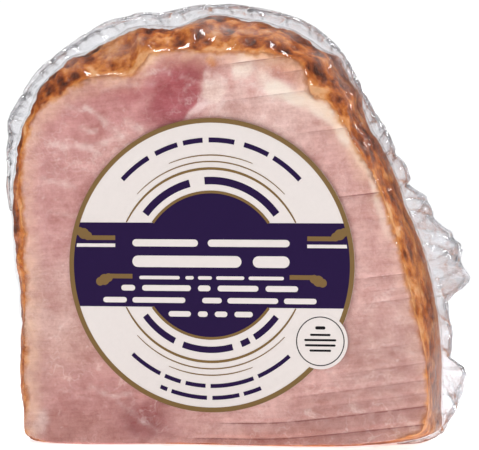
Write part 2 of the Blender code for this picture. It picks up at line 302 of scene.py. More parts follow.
@dataclass(frozen=True)
class HamForm:
    """The form of the film-wrapped ham, from the same outlines and sizes as its solid."""

    face_rim: tuple = (
        (-69, 1.5), (-17, 1), (38, 1.5), (62, 4.5), (69.5, 10), (70, 30), (65.5, 49), (60.5, 69),
        (54, 88.5), (43, 108.5), (36, 118.5), (29.5, 123), (26.5, 131), (17, 136), (-8, 137.5),
        (-26, 137), (-35.5, 129.5), (-48, 128.5), (-66.5, 119), (-74.3, 104), (-75.4, 88), (-73.7, 60),
        (-73.7, 17),
    )
    crust_girth: tuple = (
        (-69, 0), (-17, 0), (38, 0), (66.5, 4), (70, 14), (69, 43.5), (63.5, 66), (57.6, 84),
        (49.6, 103), (38.7, 125.7), (30.5, 137.4), (17, 145.5), (-9, 150), (-25, 145.5), (-38, 145.5),
        (-62, 133), (-74, 118), (-80.8, 92), (-78.3, 64.5), (-77.3, 26), (-74.5, 6),
    )
    knobs: tuple = (
        (5, 140.5, 5.5, 2.2), (-10.5, 143, 6.5, 1.9), (14, 141, 5, 1.7), (-31, 140.5, 7, 1.6),
        (31, 133.5, 5.5, 1.9), (39.5, 121.5, 5, 1.6), (-45, 134.5, 7.5, -1.4), (23, 138, 4.5, -1.2),
    )
    centre: tuple[float, float] = (-2.5, 62.0)
    girth_depths: tuple[float, float] = (8.5, 19.0)
    girth_depth_between: tuple[float, float] = (-78.0, 9.0)
    depth: float = 77.5
    back_x: float = -2.5
    rim_angle: float = math.radians(32)
    back_fullness: float = 0.86
    swell: tuple[float, float] = (26.0, 1.7)
    crag: tuple[float, float] = (8.0, 1.3)
    crag_share_low: float = 0.35
    crags_grow: tuple[float, float] = (60.0, 130.0)
    crags_end: tuple[float, float] = (22.0, 52.0)
    knobs_reach: float = 36.0
    relief_between: tuple[float, float] = (1.0, 10.0)
    crust_starts: float = 4.0
    on_face: float = 0.6
    weld: float = 0.02
    curve_steps: int = 24
    columns: int = 260
    face_rings: int = 8
    shoulder_rings: int = 14
    back_rings: int = 26

    def curve(self, points: tuple) -> np.ndarray:
        """Draws a smooth closed curve through points, by Catmull and Rom's formula.

        Args:
            points: The points as x and z.

        Returns:
            The curve's points.
        """
        p = np.array(points, float)
        t = np.linspace(0, 1, self.curve_steps, endpoint=False)[None, :, None]
        before, after, second = np.roll(p, 1, 0), np.roll(p, -1, 0), np.roll(p, -2, 0)
        p, before, after, second = (side[:, None, :] for side in (p, before, after, second))
        curve = 2 * p + (after - before) * t
        curve = curve + (2 * before - 5 * p + 4 * after - second) * t**2
        curve = curve + (3 * p - before - 3 * after + second) * t**3
        return 0.5 * curve.reshape(-1, 2)

    def reach(self, points: tuple, angles: np.ndarray) -> np.ndarray:
        """Measures how far a closed curve lies from the face's centre.

        Args:
            points: The points that the curve runs through.
            angles: The directions in which it is measured.

        Returns:
            The distances.
        """
        spokes = self.curve(points) - np.array(self.centre)
        turn = np.arctan2(spokes[:, 1], spokes[:, 0])
        order = np.argsort(turn)
        return np.interp(angles, turn[order], np.hypot(*spokes.T)[order], period=2 * math.pi)

    def in_plane(self, angles: np.ndarray, distance: np.ndarray) -> tuple[np.ndarray, np.ndarray]:
        """Finds points at a distance from the face's centre, at or above the floor.

        Args:
            angles: Their directions.
            distance: Their distances.

        Returns:
            Their x and their z.
        """
        x = self.centre[0] + np.cos(angles) * distance
        z = self.centre[1] + np.sin(angles) * distance
        return x, np.maximum(z, 0.0)

    def girth_depth(self, x: np.ndarray) -> np.ndarray:
        """Gives how far behind the face the ham is widest."""
        left, right = self.girth_depths
        return left + (right - left) * smooth_step(x, *self.girth_depth_between)

    def even_angles(self) -> np.ndarray:
        """Finds the directions of columns that stand evenly along the girth.

        Returns:
            The directions.
        """
        fine = np.linspace(-math.pi, math.pi, 2001)
        x, z = self.in_plane(fine, self.reach(self.crust_girth, fine))
        length = path_length(x, z)
        return np.interp(np.arange(self.columns) / self.columns * length[-1], length, fine)

    def rings(self) -> np.ndarray:
        """Builds the ham's surface as rings of points, from the cut face to the back.

        Returns:
            An array of rings by columns by x, y, z.
        """
        angles = self.even_angles()
        rim, girth = self.reach(self.face_rim, angles), self.reach(self.crust_girth, angles)
        rings = []
        for share in np.linspace(0, 1, self.face_rings + 1)[1:]:
            x, z = self.in_plane(angles, rim * share)
            rings.append(np.column_stack([x, np.zeros(self.columns), z]))
        edge = self.rim_angle
        for turn in np.linspace(edge, math.pi / 2, self.shoulder_rings + 1)[1:]:
            outward = (math.sin(turn) - math.sin(edge)) / (1 - math.sin(edge))
            x, z = self.in_plane(angles, rim + (girth - rim) * outward)
            y = self.girth_depth(x) * (1 - math.cos(turn) / math.cos(edge))
            rings.append(np.column_stack([x, y, z]))
        widest = rings[-1]
        for turn in np.linspace(0, math.pi / 2, self.back_rings + 1)[1:-1]:
            ring = widest.copy()
            kept = math.cos(turn) ** self.back_fullness
            ring[:, 0] = self.back_x + (widest[:, 0] - self.back_x) * kept
            ring[:, 1] += (self.depth - widest[:, 1]) * math.sin(turn) ** self.back_fullness
            ring[:, 2] *= kept
            rings.append(ring)
        return np.array(rings)

    def relief(self, point: Vector) -> float:
        """Measures how far the crust stands out.

        Args:
            point: A point of its surface.

        Returns:
            The height of its swells, crags and knobs there.
        """
        swell = noise.noise(point / self.swell[0]) * self.swell[1]
        crag = noise.fractal(point / self.crag[0], 0.9, 2.1, 3) * self.crag[1]
        crag *= 1 - smooth_step(point.y, *self.crags_end)
        crag *= self.crag_share_low + (1 - self.crag_share_low) * smooth_step(point.z, *self.crags_grow)
        knobs = 0.0
        for x, z, radius, height in self.knobs:
            away = math.hypot(point.x - x, point.z - z) / radius
            if away < 1 and point.y < self.knobs_reach:
                knobs += height * (1 - away * away) ** 2
        return float(swell + crag + knobs)

    def surface(self) -> tuple[np.ndarray, list]:
        """Builds the whole closed surface with the crust's relief.

        Returns:
            Vertices and faces.
        """
        rings = self.rings()
        along = np.roll(rings, -1, 1) - np.roll(rings, 1, 1)
        normals = np.cross(np.gradient(rings, axis=0), along)
        normals /= np.linalg.norm(normals, axis=2, keepdims=True)
        inside = np.array([self.back_x, self.girth_depths[1], self.centre[1]])
        normals *= np.sign((normals * (rings - inside)).sum(2, keepdims=True))
        for k in range(self.face_rings, len(rings)):
            grown = min(1.0, (k - self.face_rings + 1) / (self.shoulder_rings / 3))
            lifts = grown * smooth_step(rings[k, :, 2], *self.relief_between)
            for j in np.flatnonzero(lifts):
                rings[k, j] += normals[k, j] * lifts[j] * self.relief(Vector(rings[k, j]))
        rings[:, :, 2] = np.maximum(rings[:, :, 2], 0.0)
        front = [[self.centre[0], 0, self.centre[1]]]
        back_point = [[self.back_x, self.depth, 0.0]]
        vertices = np.vstack([front, rings.reshape(-1, 3), back_point])
        faces = []
        last = 1 + (len(rings) - 1) * self.columns
        for j in range(self.columns):
            after = (j + 1) % self.columns
            faces.append((0, 1 + j, 1 + after))
            for low in range(1, last, self.columns):
                high = low + self.columns
                faces.append((low + j, high + j, high + after, low + after))
            faces.append((last + j, len(vertices) - 1, last + after))
        return vertices, faces

    def remeshed(self, voxel: float, slices: "Slices | None" = None) -> tuple[np.ndarray, np.ndarray, list]:
        """Rebuilds the surface from even small squares.

        Args:
            voxel: The squares' side.
            slices: Where given, the rows of squares run along the slices.

        Returns:
            Vertices, their normals and the faces.
        """
        vertices, faces = self.surface()
        if slices:
            vertices[:, 2] -= slices.rise(vertices[:, 0], vertices[:, 2])
        rough = mesh_object("rough", vertices, faces, self.weld)
        modifier = rough.modifiers.new("even", "REMESH")
        modifier.mode = "VOXEL"
        modifier.voxel_size = voxel
        graph = bpy.context.evaluated_depsgraph_get()
        even = bpy.data.meshes.new_from_object(rough.evaluated_get(graph))
        points = np.empty(len(even.vertices) * 3)
        even.vertices.foreach_get("co", points)
        points = points.reshape(-1, 3)
        if slices:
            points[:, 2] = slices.height(points[:, 0], points[:, 2])
            even.vertices.foreach_set("co", points.ravel())
            even.update()
        normals = np.array([normal.vector for normal in even.vertex_normals])
        even_faces = [tuple(face.vertices) for face in even.polygons]
        first = rough.data
        bpy.data.objects.remove(rough)
        for used in (first, even):
            bpy.data.meshes.remove(used)
        return points, normals, even_faces

    def rim_distance(self, points: np.ndarray) -> np.ndarray:
        """Measures how far points are from the crust's edge.

        Args:
            points: Points as x, y, z.

        Returns:
            Their distances, above 0 on the cut face and below 0 on the crust.
        """
        rim = self.curve(self.face_rim)
        rim = rim[(rim[:, 1] > self.crust_starts) | (rim[:, 0] > self.face_rim[3][0])]
        tree = KDTree(len(rim))
        for i, (x, z) in enumerate(rim):
            tree.insert((x, 0.0, z), i)
        tree.balance()
        away = np.array([tree.find(p)[2] for p in points.tolist()])
        spokes = points[:, [0, 2]] - np.array(self.centre)
        inside = np.hypot(*spokes.T) < self.reach(self.face_rim, np.arctan2(spokes[:, 1], spokes[:, 0]))
        return np.where(inside & (points[:, 1] < self.on_face), away, -away)


@dataclass(frozen=True)
class Slices:
    """The ham's slices, each by the step at its foot: its height where level, its start and its depth."""

    steps: tuple = (
        (3.9, -20, 1.3), (8.7, -12, 1.0), (12.9, 16, 0.4), (16, 14, 0.55), (20.3, 28, 0.45),
        (25.9, 36, 0.3), (38.6, 38, 0.4), (42.2, 38, 0.3), (46.8, 36, 0.6), (56.2, 44, 0.3),
        (66.9, 40, 0.3), (75.2, 30, 0.9), (98.8, 16, 0.4), (113.3, -10, 0.4), (120.8, 8, 0.5),
        (126, -10, 0.7),
    )
    climb: float = 0.118
    climb_from: tuple[float, float] = (18.0, -60.0)
    climb_from_between: tuple[float, float] = (4.0, 60.0)
    ease: float = 8.0
    fade: float = 18.0
    slope_least: float = 1.8
    slope_per_depth: float = 1.6
    far: float = 9.0
    rounds: int = 14
    above: float = 0.1
    below_middle: float = 0.02

    def rise(self, x: np.ndarray, z: np.ndarray) -> np.ndarray:
        """Measures how far the slices' lines have climbed.

        Args:
            x: The x of points of the face.
            z: Their z.

        Returns:
            The climb of the line through each point.
        """
        low, high = self.climb_from
        along = x - (low + (high - low) * smooth_step(z, *self.climb_from_between))
        return self.climb * 0.5 * (along + np.hypot(along, self.ease))

    def height(self, x: np.ndarray, level: np.ndarray) -> np.ndarray:
        """Finds the slices' lines.

        Args:
            x: Where they are wanted.
            level: How high they are where they are level.

        Returns:
            Their z at x.
        """
        z = level
        for _ in range(self.rounds):
            z = level + self.rise(x, z)
        return z

    def at(
        self, x: np.ndarray, z: np.ndarray, row: float, phase: float
    ) -> tuple[np.ndarray, np.ndarray, np.ndarray]:
        """Measures the steps at points of the cut face.

        Args:
            x: The points' x.
            z: The points' z.
            row: The height of the mesh's rows of squares, between two of which each step is put.
            phase: The height of one row's points.

        Returns:
            How far each point lies below a step, that step's depth, and how deep the face is set in.
        """
        level = z - self.rise(x, z)
        below = np.full(x.shape, self.far)
        depth_there = np.zeros(x.shape)
        set_in = np.zeros(x.shape)
        for height, start, depth in self.steps:
            between = phase + (math.floor((height - phase) / row) + 0.5) * row
            under = between - level - 0.5 * row + self.below_middle
            grown = depth * smooth_step(x, start, start + self.fade)
            nearer = (under >= -self.above) & (under < below)
            below = np.where(nearer, np.maximum(under, 0), below)
            depth_there = np.where(nearer, grown, depth_there)
            slope = self.slope_least + self.slope_per_depth * depth
            cut = np.where(under >= -self.above, grown * np.clip(1 - under / slope, 0, 1), 0)
            set_in = np.maximum(set_in, cut)
        return below, depth_there, set_in


@dataclass(frozen=True)
class Patch:
    """A soft-edged field of one colour on the cut face.

    It has its middle, its two radii, its turn in degrees, and how solid, soft-edged and wandering it is.
    """

    x: float
    z: float
    radius_x: float
    radius_z: float
    turn: float
    colour: str
    strength: float = 1.0
    softness: float = 0.6
    loose: float = 1.0

    def cover(self, x: np.ndarray, z: np.ndarray) -> np.ndarray:
        """Measures how much of the colour shows.

        Args:
            x: The x of points of the face.
            z: Their z.

        Returns:
            The colour's share at each point.
        """
        c, s = math.cos(math.radians(self.turn)), math.sin(math.radians(self.turn))
        across, up = (x - self.x) * c + (z - self.z) * s, (z - self.z) * c - (x - self.x) * s
        away = np.hypot(across / self.radius_x, up / self.radius_z)
        return self.strength * (1 - smooth_step(away, 1 - self.softness, 1 + self.softness))


@dataclass(frozen=True)
class CutMeat:
    """Cooked, smoked pork with its fields of muscle and fat, as the knife left it, and one painted highlight.
    """

    base: str = "#DBAFA8"
    fields: tuple = (
        Patch(-61, 85, 18, 30, 0, "#D3A29E"),
        Patch(-64, 30, 18, 22, 0, "#D0A79D"),
        Patch(-63, 52, 14, 14, 0, "#DAB8B0", 0.7),
        Patch(-45, 14, 26, 16, 0, "#C58F8A"),
        Patch(-60, 6, 18, 6, 0, "#BF8A82"),
        # Not meat: a painted highlight, the film's pale glare on the lower left corner of the face.
        Patch(-69, 9, 3, 4.5, 0, "#EBD8D2", 0.6),
        Patch(-29, 10.5, 10, 4.5, -8, "#9E5A58", 0.95),
        Patch(25, 3, 60, 4, 4, "#C58B7E", 0.9),
        Patch(48, 12, 30, 9, 6, "#C2938B"),
        Patch(55, 38, 18, 20, 0, "#CAA39B"),
        Patch(50, 70, 18, 24, 0, "#DBB2AB"),
        Patch(15, 115, 19, 12, -15, "#E6C5BD"),
        Patch(-41, 118.5, 24, 10, 18, "#CF9794"),
        Patch(-32, 125.4, 10, 4.5, 10, "#C0777A", 0.8),
        Patch(-15, 130.5, 9, 7, 0, "#B96E70", 0.95, 0.35),
        Patch(-17, 121, 9, 8.5, 0, "#B46066", 0.95, 0.35),
        Patch(-22.6, 115.5, 9, 5, 20, "#B2656C", 0.8),
        Patch(2.4, 126.5, 8, 6, 0, "#DDB0A8", 0.95, 0.3, 0.5),
        Patch(0, 120, 7, 4, 10, "#E6C6BF", 0.9, 0.4),
        Patch(18, 129, 7, 3.5, 10, "#CF9384", 0.7),
        Patch(-5.4, 135.0, 3.4, 1.5, -20, "#D0834C", 0.9, 0.4),
        Patch(13, 135.6, 9, 1.7, -6, "#EDC39B", 0.85, 0.4),
        Patch(22, 131.5, 8, 3, -14, "#D79A84", 0.8),
        Patch(27, 127.6, 4.5, 2.6, -12, "#CB928B", 0.8, 0.4),
        Patch(-27, 134.4, 5, 2.4, 35, "#EAC3A0", 0.9, 0.5),
        Patch(-4.8, 124.4, 3.6, 3.0, 0, "#F3DFD5", 1.0, 0.4, 0.2),
        Patch(-5.6, 121.4, 3.4, 2.4, 0, "#F1DBD1", 1.0, 0.4, 0.2),
        Patch(-7.0, 128.3, 1.6, 2.4, 0, "#EBCFC8", 0.8, 0.5, 0.2),
        Patch(5.6, 131.6, 4.0, 4.4, 0, "#F2DED3", 0.95, 0.5, 0.2),
        Patch(-10.5, 116.8, 5.0, 1.5, 28, "#EBCFCB", 0.9, 0.5, 0.2),
        Patch(14.6, 125.6, 2.6, 5.0, 42, "#F2DED2", 0.9, 0.5, 0.3),
        Patch(4.5, 123.4, 2.0, 2.6, 0, "#E9CBC3", 0.7, 0.5, 0.3),
    )
    broad_waves: tuple[float, float] = (13.0, 4.0)
    fine_waves: tuple[float, float] = (3.5, 1.6)
    lift: float = 1.19

    def colours(self, points: np.ndarray) -> np.ndarray:
        """Mixes the fields' colours at points of the face, with wandering edges.

        Args:
            points: Points as x, y, z.

        Returns:
            Linear colours with alpha.
        """
        bent, fine = wander(points, *self.broad_waves), wander(points, *self.fine_waves)
        mixed = np.tile(np.array(linear(self.base)), (len(points), 1))
        for patch in self.fields:
            x, _, z = (points + bent * patch.loose + fine).T
            share = patch.cover(x, z)[:, None]
            mixed = mixed * (1 - share) + np.array(linear(patch.colour)) * share
        return np.column_stack([mixed[:, :3] * self.lift, mixed[:, 3]])


@dataclass(frozen=True)
class Streak:
    """A feathery white streak of fat or sinew on the cut face, through points as x and z."""

    points: tuple
    width: float
    strength: float
    core: float = 0.2

    def cover(self, x: np.ndarray, z: np.ndarray) -> np.ndarray:
        """Gives how white the streak is at points of the face."""
        away = line_distance(self.points, x, z)
        return self.strength * (1 - smooth_step(away, self.core * self.width, self.width))


class Pattern(Enum):
    """The ham's patterns: the real size of their spots in millimetres, and their number of finer layers."""

    MUSCLE = (19.0, 5.0)
    MOTTLE = (5.5, 4.0)
    GRAIN = (0.9, 2.0)
    BUNDLE = (10.0, 3.0)
    FLECK = (2.8, 2.0)
    BROKEN_LINE = (3.0, 4.0)
    BROWNING = (13.0, 6.0)
    CRACKLE = (3.4, 5.0)
    BURN = (7.0, 3.0)
    EDGE_WAVE = (9.0, 3.0)
    EDGE_NIBBLE = (2.6, 3.0)


class DrawnOut(Enum):
    """The ham's drawn-out patterns: each one's slope in degrees, and its length and width in millimetres."""

    FIBRE = (4.0, 9.0, 1.3)
    FEATHER = (-38.0, 5.0, 1.1)
    DRIP = (-62.0, 20.0, 4.0)


@dataclass(frozen=True)
class HamFinish:
    """Smoked, glazed and baked ham: moist sliced meat, cream fat and a browned, pitted crust.

    The knife leaves the meat nearly matt with a moist sheen and fine fibres. The crust is darker where it is
    pitted, orange on its ridges and shiny with glaze. Each fade below is two values, and what it
    gives at them; each mix is a sum's weights in the order of its patterns, and the number it starts from.
    """

    fat: str = "#FFECDD"
    sinew: str = "#FFEDE6"
    soak: str = "#F6CDA9"
    # The colour of the painted shadow under each slice's overhanging lip.
    painted_slice_shadow: str = "#8E4B45"
    lean: tuple = ((0.26, "#D6BFBB"), (0.7, "#FFFFFF"))
    scorch: tuple = ((0.34, "#96502A"), (0.5, "#C0702F"), (0.64, "#E0984F"))
    crust: tuple = (
        (0.16, "#54240F"), (0.34, "#8A4018"), (0.5, "#BA6225"), (0.66, "#DC8940"), (0.88, "#F0B480"),
    )
    spot_roughness: float = 0.6
    lean_mix: tuple = ((0.85, 0.75, 0.3, 0.35), -0.64)
    crust_mix: tuple = ((0.95, 0.95, 0.55, -0.42), -0.6)
    edge_mix: tuple = ((1.0, 2.4, 4.5), -3.45)
    crust_bumps: tuple = ((1.7, 0.35), 0.0)
    meat_bumps: tuple = ((0.3, 0.16), 0.0)
    feathery: tuple = (0.28, 0.62, 0.35, 1.0)
    soaks_in: tuple = (0.5, 8.5, 0.62, 0.0)
    soaks_patchily: tuple = (0.3, 0.7, 0.35, 1.0)
    # The painted shadow under each slice's lip: its thin dark core and its softer shade, by distance below the
    # step.
    painted_shadow_core: tuple = (0.0, 0.6, 0.8, 0.0)
    painted_line_shadow: tuple = (0.0, 2.0, 0.4, 0.0)
    line_breaks: tuple = (0.35, 0.6, 0.45, 1.0)
    threads: tuple = (0.0, 0.022, 0.28, 0.0)
    threads_here: tuple = (0.42, 0.62, 0.0, 1.0)
    flecks: tuple = (0.66, 0.8, 0.0, 0.28)
    paler_near_edge: tuple = (-8.0, -1.0, -0.02, 0.07)
    calmer_behind: tuple = (-45.0, -12.0, 0.5, 1.0)
    scorches: tuple = (0.2, 2.4, 0.85, 0.0)
    inside_edge: tuple = (-0.4, 0.7, 0.0, 1.0)
    meat_roughness: float = 0.42
    crust_roughness: float = 0.32

    def patterns(self, tree: Tree, place: Socket) -> dict[Enum, Socket]:
        """Adds every pattern of the ham.

        Args:
            tree: The material's tree.
            place: The coordinates.

        Returns:
            The patterns' noise.
        """
        spots = {}
        for pattern in Pattern:
            size, layers = pattern.value
            spots[pattern] = add_node(tree, "TexNoise", None, {
                "Vector": place, "Scale": 1 / (size * MM), "Detail": layers,
                "Roughness": self.spot_roughness,
            })
        for pattern in DrawnOut:
            slope, length, width = pattern.value
            stretched = add_node(tree, "Mapping", {"vector_type": "TEXTURE"}, {
                "Vector": place,
                "Rotation": (0.0, math.radians(-slope), 0.0),
                "Scale": (length * MM, width * MM, width * MM),
            })
            spots[pattern] = add_node(tree, "TexNoise", None, {
                "Vector": stretched, "Scale": 1.0, "Detail": 3.0,
            })
        return spots

    def face_colour(self, tree: Tree, spots: dict, reads: dict, edge: Socket) -> Socket:
        """Colours the cut face: lean, fat, sinew, the glaze soaked in at its edge, and painted slice shadows.

        Args:
            tree: The material's tree.
            spots: The patterns.
            reads: The piece's stored values by name.
            edge: The wandering distance from the knife's edge.

        Returns:
            The colour.
        """
        leanness = (Pattern.MUSCLE, Pattern.MOTTLE, DrawnOut.FIBRE, Pattern.GRAIN)
        tone = weighted_sum(tree, [spots[pattern] for pattern in leanness], *self.lean_mix)
        lean = add_node(tree, "ValToRGB", {"stops": self.lean}, (tone,))
        colour = add_node(tree, "Mix", Way.TINTED, {0: 1.0, 6: reads["meat"], 7: lean}, 2)
        feathers = add_node(tree, "MapRange", Way.SMOOTHLY, (spots[DrawnOut.FEATHER], *self.feathery))
        sinew = add_node(tree, "Math", Way.TIMES_UP_TO_ONE, (reads["sinew"], feathers))
        soaked = add_node(tree, "MapRange", Way.SMOOTHLY, (edge, *self.soaks_in))
        patchy = add_node(tree, "MapRange", Way.SMOOTHLY, (spots[Pattern.MOTTLE], *self.soaks_patchily))
        for share in (patchy, reads["soaked"]):
            soaked = add_node(tree, "Math", Way.TIMES, (soaked, share))
        # Painted shadow under each slice's lip: a thin dark core and a softer painted shade below it, stronger
        # where the step is deeper and broken along the line.
        core = add_node(tree, "MapRange", Way.SMOOTHLY, (reads["below"], *self.painted_shadow_core))
        shadow = add_node(tree, "MapRange", Way.SMOOTHLY, (reads["below"], *self.painted_line_shadow))
        broken = add_node(tree, "MapRange", Way.SMOOTHLY, (spots[Pattern.BROKEN_LINE], *self.line_breaks))
        line = add_node(tree, "Math", Way.ADDED, (core, shadow))
        line = add_node(tree, "Math", Way.TIMES, (line, reads["step"]))
        line = add_node(tree, "Math", Way.TIMES_UP_TO_ONE, (line, broken))
        for share, over in (
            (reads["fat"], self.fat), (sinew, self.sinew), (self.veins(tree, spots), self.sinew),
            (soaked, self.soak), (line, self.painted_slice_shadow),
        ):
            colour = add_node(tree, "Mix", Way.LAID_OVER, {0: share, 6: colour, 7: linear(over)}, 2)
        return colour

    def veins(self, tree: Tree, spots: dict) -> Socket:
        """Draws the fine pale threads and flecks of sinew between the bundles of muscle.

        Args:
            tree: The material's tree.
            spots: The patterns. The threads come and go with the large muscles.

        Returns:
            How pale each place is.
        """
        bundle = add_node(tree, "Math", Way.SUBTRACTED, (spots[Pattern.BUNDLE], 0.5))
        near = add_node(tree, "Math", {"operation": "ABSOLUTE"}, (bundle,))
        threads = add_node(tree, "MapRange", Way.SMOOTHLY, (near, *self.threads))
        here = add_node(tree, "MapRange", Way.SMOOTHLY, (spots[Pattern.MUSCLE], *self.threads_here))
        threads = add_node(tree, "Math", Way.TIMES, (threads, here))
        flecks = add_node(tree, "MapRange", Way.SMOOTHLY, (spots[Pattern.FLECK], *self.flecks))
        return add_node(tree, "Math", {"operation": "MAXIMUM"}, (threads, flecks))

    def crust_colour(self, tree: Tree, spots: dict, reads: dict) -> Socket:
        """Colours the crust: dark in its pits and where the glaze ran and burnt, orange on its ridges.

        Args:
            tree: The material's tree.
            spots: The patterns.
            reads: The piece's stored values by name.

        Returns:
            The colour.
        """
        baked = [spots[pattern] for pattern in (Pattern.BROWNING, Pattern.CRACKLE, DrawnOut.DRIP)]
        tone = weighted_sum(tree, [*baked, reads["pit"]], *self.crust_mix)
        near = add_node(tree, "MapRange", Way.SMOOTHLY, (reads["rim"], *self.paler_near_edge))
        tone = add_node(tree, "Math", Way.ADDED, (tone, near))
        calm = add_node(tree, "MapRange", Way.SMOOTHLY, (reads["rim"], *self.calmer_behind))
        tone = add_node(tree, "Math", Way.SUBTRACTED, (tone, 0.5))
        tone = add_node(tree, "Math", Way.TIMES_AND_ADDED, (tone, calm, 0.5))
        return add_node(tree, "ValToRGB", {"stops": self.crust}, (tone,))

    def make(self) -> bpy.types.Material:
        """Builds the node material.

        Returns:
            The material.
        """
        material, tree, place = start_material("smoked_glazed_ham")
        spots = self.patterns(tree, place)
        reads = {
            name: add_node(tree, "Attribute", {"attribute_name": name}, output="Fac")
            for name in ("rim", "fat", "sinew", "below", "step", "pit", "soaked")
        }
        reads["meat"] = add_node(tree, "Attribute", {"attribute_name": "meat"}, output="Color")
        wandering = (reads["rim"], spots[Pattern.EDGE_NIBBLE], spots[Pattern.EDGE_WAVE])
        edge = weighted_sum(tree, wandering, *self.edge_mix)
        face = self.face_colour(tree, spots, reads, edge)
        scorch = add_node(tree, "ValToRGB", {"stops": self.scorch}, (spots[Pattern.BURN],))
        scorched = add_node(tree, "MapRange", Way.SMOOTHLY, (edge, *self.scorches))
        face = add_node(tree, "Mix", Way.LAID_OVER, {0: scorched, 6: face, 7: scorch}, 2)
        crust = self.crust_colour(tree, spots, reads)
        inside = add_node(tree, "MapRange", Way.SMOOTHLY, (edge, *self.inside_edge))
        colour = add_node(tree, "Mix", Way.LAID_OVER, {0: inside, 6: crust, 7: face}, 2)
        roughness = (self.crust_roughness, self.meat_roughness)
        rough = add_node(tree, "MapRange", Way.SMOOTHLY, (inside, 0.0, 1.0, *roughness))
        fibre, grain, crackle = spots[DrawnOut.FIBRE], spots[Pattern.GRAIN], spots[Pattern.CRACKLE]
        crust_height = weighted_sum(tree, (crackle, grain), *self.crust_bumps)
        meat_height = weighted_sum(tree, (fibre, grain), *self.meat_bumps)
        height = add_node(tree, "Mix", {"data_type": "FLOAT"}, {0: inside, 2: crust_height, 3: meat_height})
        bump = add_node(tree, "Bump", None, {"Strength": 0.6, "Distance": MM, "Height": height})
        shader = add_node(tree, "BsdfPrincipled", None, {
            "Base Color": colour, "Roughness": rough, "Normal": bump,
            "IOR": 1.42, "Specular IOR Level": 0.35,
            "Subsurface Weight": 0.12, "Subsurface Radius": (0.004, 0.0015, 0.001), "Subsurface Scale": 0.6,
            "Coat Weight": 0.12, "Coat Roughness": 0.12,
        })
        add_node(tree, "OutputMaterial", None, {"Surface": shader})
        return material


@dataclass(frozen=True)
class VacuumFilm:
    """Clear polyethylene vacuum film, blown and heat-sealed: it hardly shows but for its gloss and its haze.

    The haze grows where the film is seen along its surface, and creases catch the light in thin lines. A
    piece of film stores how milky it is where it bridges a hollow, and how it shines where it is pleated.
    """

    name: str
    tint: str = "#FBFBFB"
    haze: float = 0.008
    edge_haze: float = 0.025
    mirror: float = 0.025
    edge_mirror: float = 0.12
    steepness: float = 3.5
    gloss_roughness: float = 0.05
    crease_size: float = 5.0
    crease_height: float = 0.3
    milk: str = "#DEDCDB"

    def make(self) -> bpy.types.Material:
        """Builds the node material.

        Returns:
            The material.
        """
        material, tree, place = start_material(self.name)
        crease = add_node(tree, "TexNoise", {"noise_type": "RIDGED_MULTIFRACTAL"}, {
            "Vector": place, "Scale": 1 / (self.crease_size * MM), "Detail": 3.0, "Distortion": 0.6,
        })
        bump = add_node(tree, "Bump", None, {
            "Strength": 1.0, "Distance": self.crease_height * MM, "Height": crease,
        })
        facing = add_node(tree, "LayerWeight", None, {"Blend": 0.5, "Normal": bump}, "Facing")
        steep = add_node(tree, "Math", {"operation": "POWER"}, (facing, self.steepness))
        shares = []
        for stored, least, grows in (
            ("pleated", self.mirror, self.edge_mirror), ("bridged", self.haze, self.edge_haze),
        ):
            here = add_node(tree, "Attribute", {"attribute_name": stored}, output="Fac")
            here = add_node(tree, "Math", Way.ADDED, (here, least))
            shares.append(add_node(tree, "Math", Way.TIMES_AND_ADDED_UP_TO_ONE, (steep, grows, here)))
        clear = add_node(tree, "BsdfTransparent", None, {"Color": linear(self.tint)})
        gloss = add_node(tree, "BsdfGlossy", None, {
            "Color": linear("#FFFFFF"), "Roughness": self.gloss_roughness, "Normal": bump,
        })
        milk = add_node(tree, "BsdfDiffuse", None, {"Color": linear(self.milk), "Normal": bump})
        shiny = add_node(tree, "MixShader", None, (shares[0], clear, gloss))
        hazy = add_node(tree, "MixShader", None, (shares[1], shiny, milk))
        add_node(tree, "OutputMaterial", None, {"Surface": hazy})
        return material


@dataclass(frozen=True)
class PrintedPaper:
    """Coated label paper, calendered and printed in solid inks: flat colour, a soft sheen, faint fibres."""

    name: str
    colour: str
    roughness: float = 0.5
    fibre_size: float = 1.2
    variation: float = 0.05

    def make(self) -> bpy.types.Material:
        """Builds the node material.

        Returns:
            The material.
        """
        material, tree, place = start_material(self.name)
        fibre = add_node(tree, "TexNoise", None, {
            "Vector": place, "Scale": 1 / (self.fibre_size * MM), "Detail": 3.0,
        })
        shade = weighted_sum(tree, (fibre,), (self.variation,), 1.0 - 0.5 * self.variation)
        colour = add_node(tree, "Mix", Way.TINTED, {0: 1.0, 6: linear(self.colour), 7: shade}, 2)
        bump = add_node(tree, "Bump", None, {"Strength": 0.15, "Distance": 0.1 * MM, "Height": fibre})
        shader = add_node(tree, "BsdfPrincipled", None, {
            "Base Color": colour, "Roughness": self.roughness, "Normal": bump, "IOR": 1.45,
            "Specular IOR Level": 0.06,
        })
        add_node(tree, "OutputMaterial", None, {"Surface": shader})
        return material


